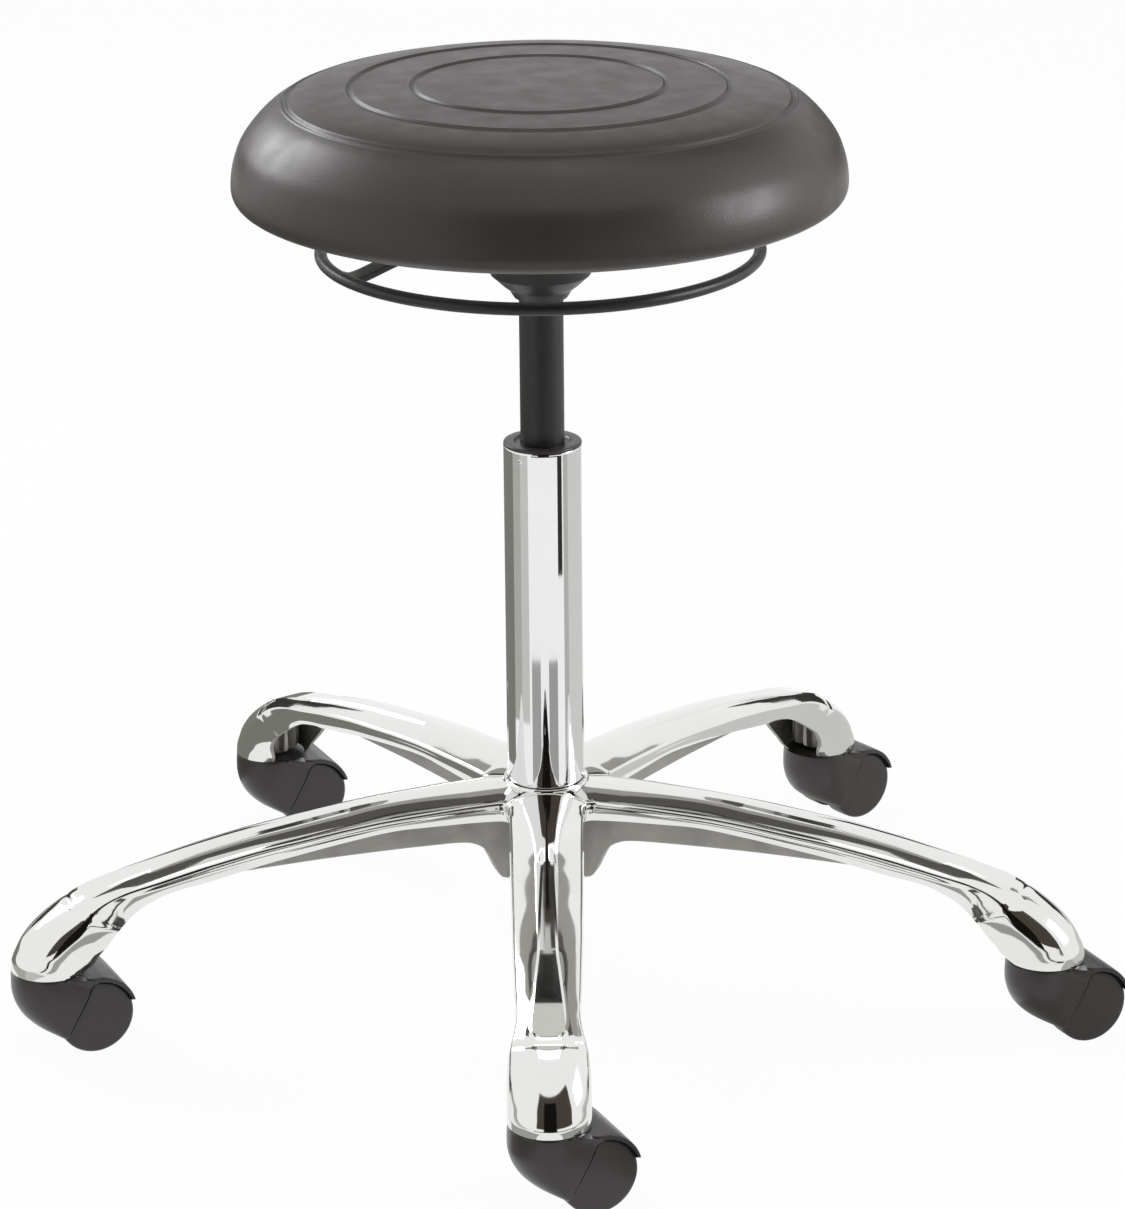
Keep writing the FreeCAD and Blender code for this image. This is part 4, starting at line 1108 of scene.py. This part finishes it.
def add_camera(settings):
    """The camera in front of the stool, looking down at it."""
    tilt = settings.camera_tilt
    turn = settings.camera_turn
    roll = settings.camera_roll
    ahead = Vector((math.sin(turn) * math.cos(tilt), math.cos(turn) * math.cos(tilt),
                    -math.sin(tilt)))
    right = Vector((math.cos(turn), -math.sin(turn), 0))
    up = right.cross(ahead)
    rolled_right = right * math.cos(roll) + up * math.sin(roll)
    rolled_up = up * math.cos(roll) - right * math.sin(roll)
    data = bpy.data.cameras.new("studio_camera")
    data.sensor_fit = "HORIZONTAL"
    data.sensor_width = 36
    data.lens = settings.camera_lens
    camera = bpy.data.objects.new("studio_camera", data)
    bpy.context.scene.collection.objects.link(camera)
    axes = Matrix((rolled_right, rolled_up, -ahead)).transposed().to_4x4()
    place = Matrix.Translation((0, -settings.camera_distance, settings.camera_height))
    camera.matrix_world = place @ axes
    bpy.context.scene.camera = camera


# All these cards are painted reflections: they glow at their own colour and show only in the metal
# and the seat's sheen.
# Far cards: headings from and to, heights from and to in degrees, distance in metres, colour.
FAR_CARDS = (
    ("dark_room", -32, 58, 9, 50, 3.6, "#4b443e"),
    ("dark_middle", -14, 18, -9, 42, 3.3, "#171513"),
    ("back_left_dark", -168, -136, 2, 17, 3.4, "#3a3835"),
    ("back_right_dark", 136, 168, 2, 17, 3.4, "#3a3835"),
    ("back_shade", 118, 242, 36, 47, 3.5, "#a3a19c"),
    ("back_dusk", 118, 242, 47, 76, 3.5, "#5a5855"),
)
# Floor cards: headings from and to, nearest and farthest reach in metres, colour.
FLOOR_CARDS = (
    ("room_floor", -34, 48, 1.2, 3.4, "#3b3834"),
    ("left_near_floor", -38, -12, 0.3, 0.64, "#a6a6a3"),
    ("right_near_floor", 12, 38, 0.3, 0.64, "#a2a29f"),
    ("left_floor", -45, -70, 0.5, 2.6, "#cbcbc6"),
    ("left_shade", -70, -98, 0.5, 2.6, "#b2b2ac"),
    ("far_left_floor", -98, -168, 0.4, 2.6, "#7f7f79"),
    ("right_strip", 42, 56, 0.84, 2.2, "#33322f"),
    ("right_shade", 60, 76, 0.3, 2.6, "#b9b9b5"),
    ("right_floor", 76, 150, 0.3, 2.6, "#d4d4d1"),
)
# A card low under the seat, which the front leg's top face mirrors.
UNDER_SEAT_CARD = (((-0.07, -0.2, 0.47), (0.07, -0.2, 0.47)),
                   ((-0.07, -0.05, 0.47), (0.07, -0.05, 0.47)))


class STOOL_OT_studio(bpy.types.Operator):
    """Set up the camera, the white floor, the soft lamps and the cards the metal mirrors"""

    bl_idname = "stool.studio"
    bl_label = "Studio"

    def execute(self, context):
        settings = context.scene.stool_studio
        add_camera(settings)
        ground = CAD_BOX[0].z
        mesh = bpy.data.meshes.new("studio_floor")
        size = 9.0
        mesh.from_pydata([(-size, -size, ground), (size, -size, ground), (size, size, ground),
                          (-size, size, ground)], [], [(0, 1, 2, 3)])
        mesh.materials.append(floor_paint())
        floor = bpy.data.objects.new("studio_floor", mesh)
        context.scene.collection.objects.link(floor)
        set_world(settings.fill)
        add_lamp("left_softbox", (-1.8, 1.5, 1.7), (0, 0, 0.45), 1.1, 1.3, settings.left_lamp)
        add_lamp("right_softbox", (2.5, -0.3, 1.2), (0, 0, 0.4), 1.0, 1.2, settings.right_lamp)
        add_lamp("top_softbox", (0.0, 0.4, 2.7), (0, 0, 0.4), 1.4, 1.4, settings.top_lamp)
        for name, start, end, low, high, distance, colour in FAR_CARDS:
            far_card(name, start, end, low, high, distance, colour)
        for name, start, end, near, far, colour in FLOOR_CARDS:
            floor_card(name, start, end, near, far, colour)
        add_card("under_seat_card", UNDER_SEAT_CARD, "#d6d6d2")
        context.scene.view_settings.view_transform = "Standard"
        return {"FINISHED"}


# ---- panel and registration ----

STEPS = (STOOL_OT_seat, STOOL_OT_star_base, STOOL_OT_casters, STOOL_OT_column,
         STOOL_OT_release, STOOL_OT_kept_parts, STOOL_OT_studio)
SETTINGS = (("stool_seat", SeatSettings), ("stool_base", BaseSettings),
            ("stool_casters", CasterSettings), ("stool_column", ColumnSettings),
            ("stool_release", ReleaseSettings), ("stool_studio", StudioSettings))


class STOOL_PT_builder(bpy.types.Panel):
    """The stool's settings and steps"""

    bl_idname = "STOOL_PT_builder"
    bl_label = "Swivel stool"
    bl_space_type = "VIEW_3D"
    bl_region_type = "UI"
    bl_category = "Stool"

    def draw(self, context):
        for name, group in SETTINGS:
            box = self.layout.box()
            box.label(text=group.__doc__)
            for key in group.__annotations__:
                box.prop(getattr(context.scene, name), key)
        for step in STEPS:
            self.layout.operator(step.bl_idname)


def register():
    for name, group in SETTINGS:
        bpy.utils.register_class(group)
        setattr(bpy.types.Scene, name, PointerProperty(type=group))
    for step in STEPS:
        bpy.utils.register_class(step)
    bpy.utils.register_class(STOOL_PT_builder)


def unregister():
    bpy.utils.unregister_class(STOOL_PT_builder)
    for step in reversed(STEPS):
        bpy.utils.unregister_class(step)
    for name, group in reversed(SETTINGS):
        delattr(bpy.types.Scene, name)
        bpy.utils.unregister_class(group)


def main():
    register()
    for step in STEPS:
        getattr(bpy.ops.stool, step.bl_idname.split(".")[1])()


if __name__ == "__main__":
    main()
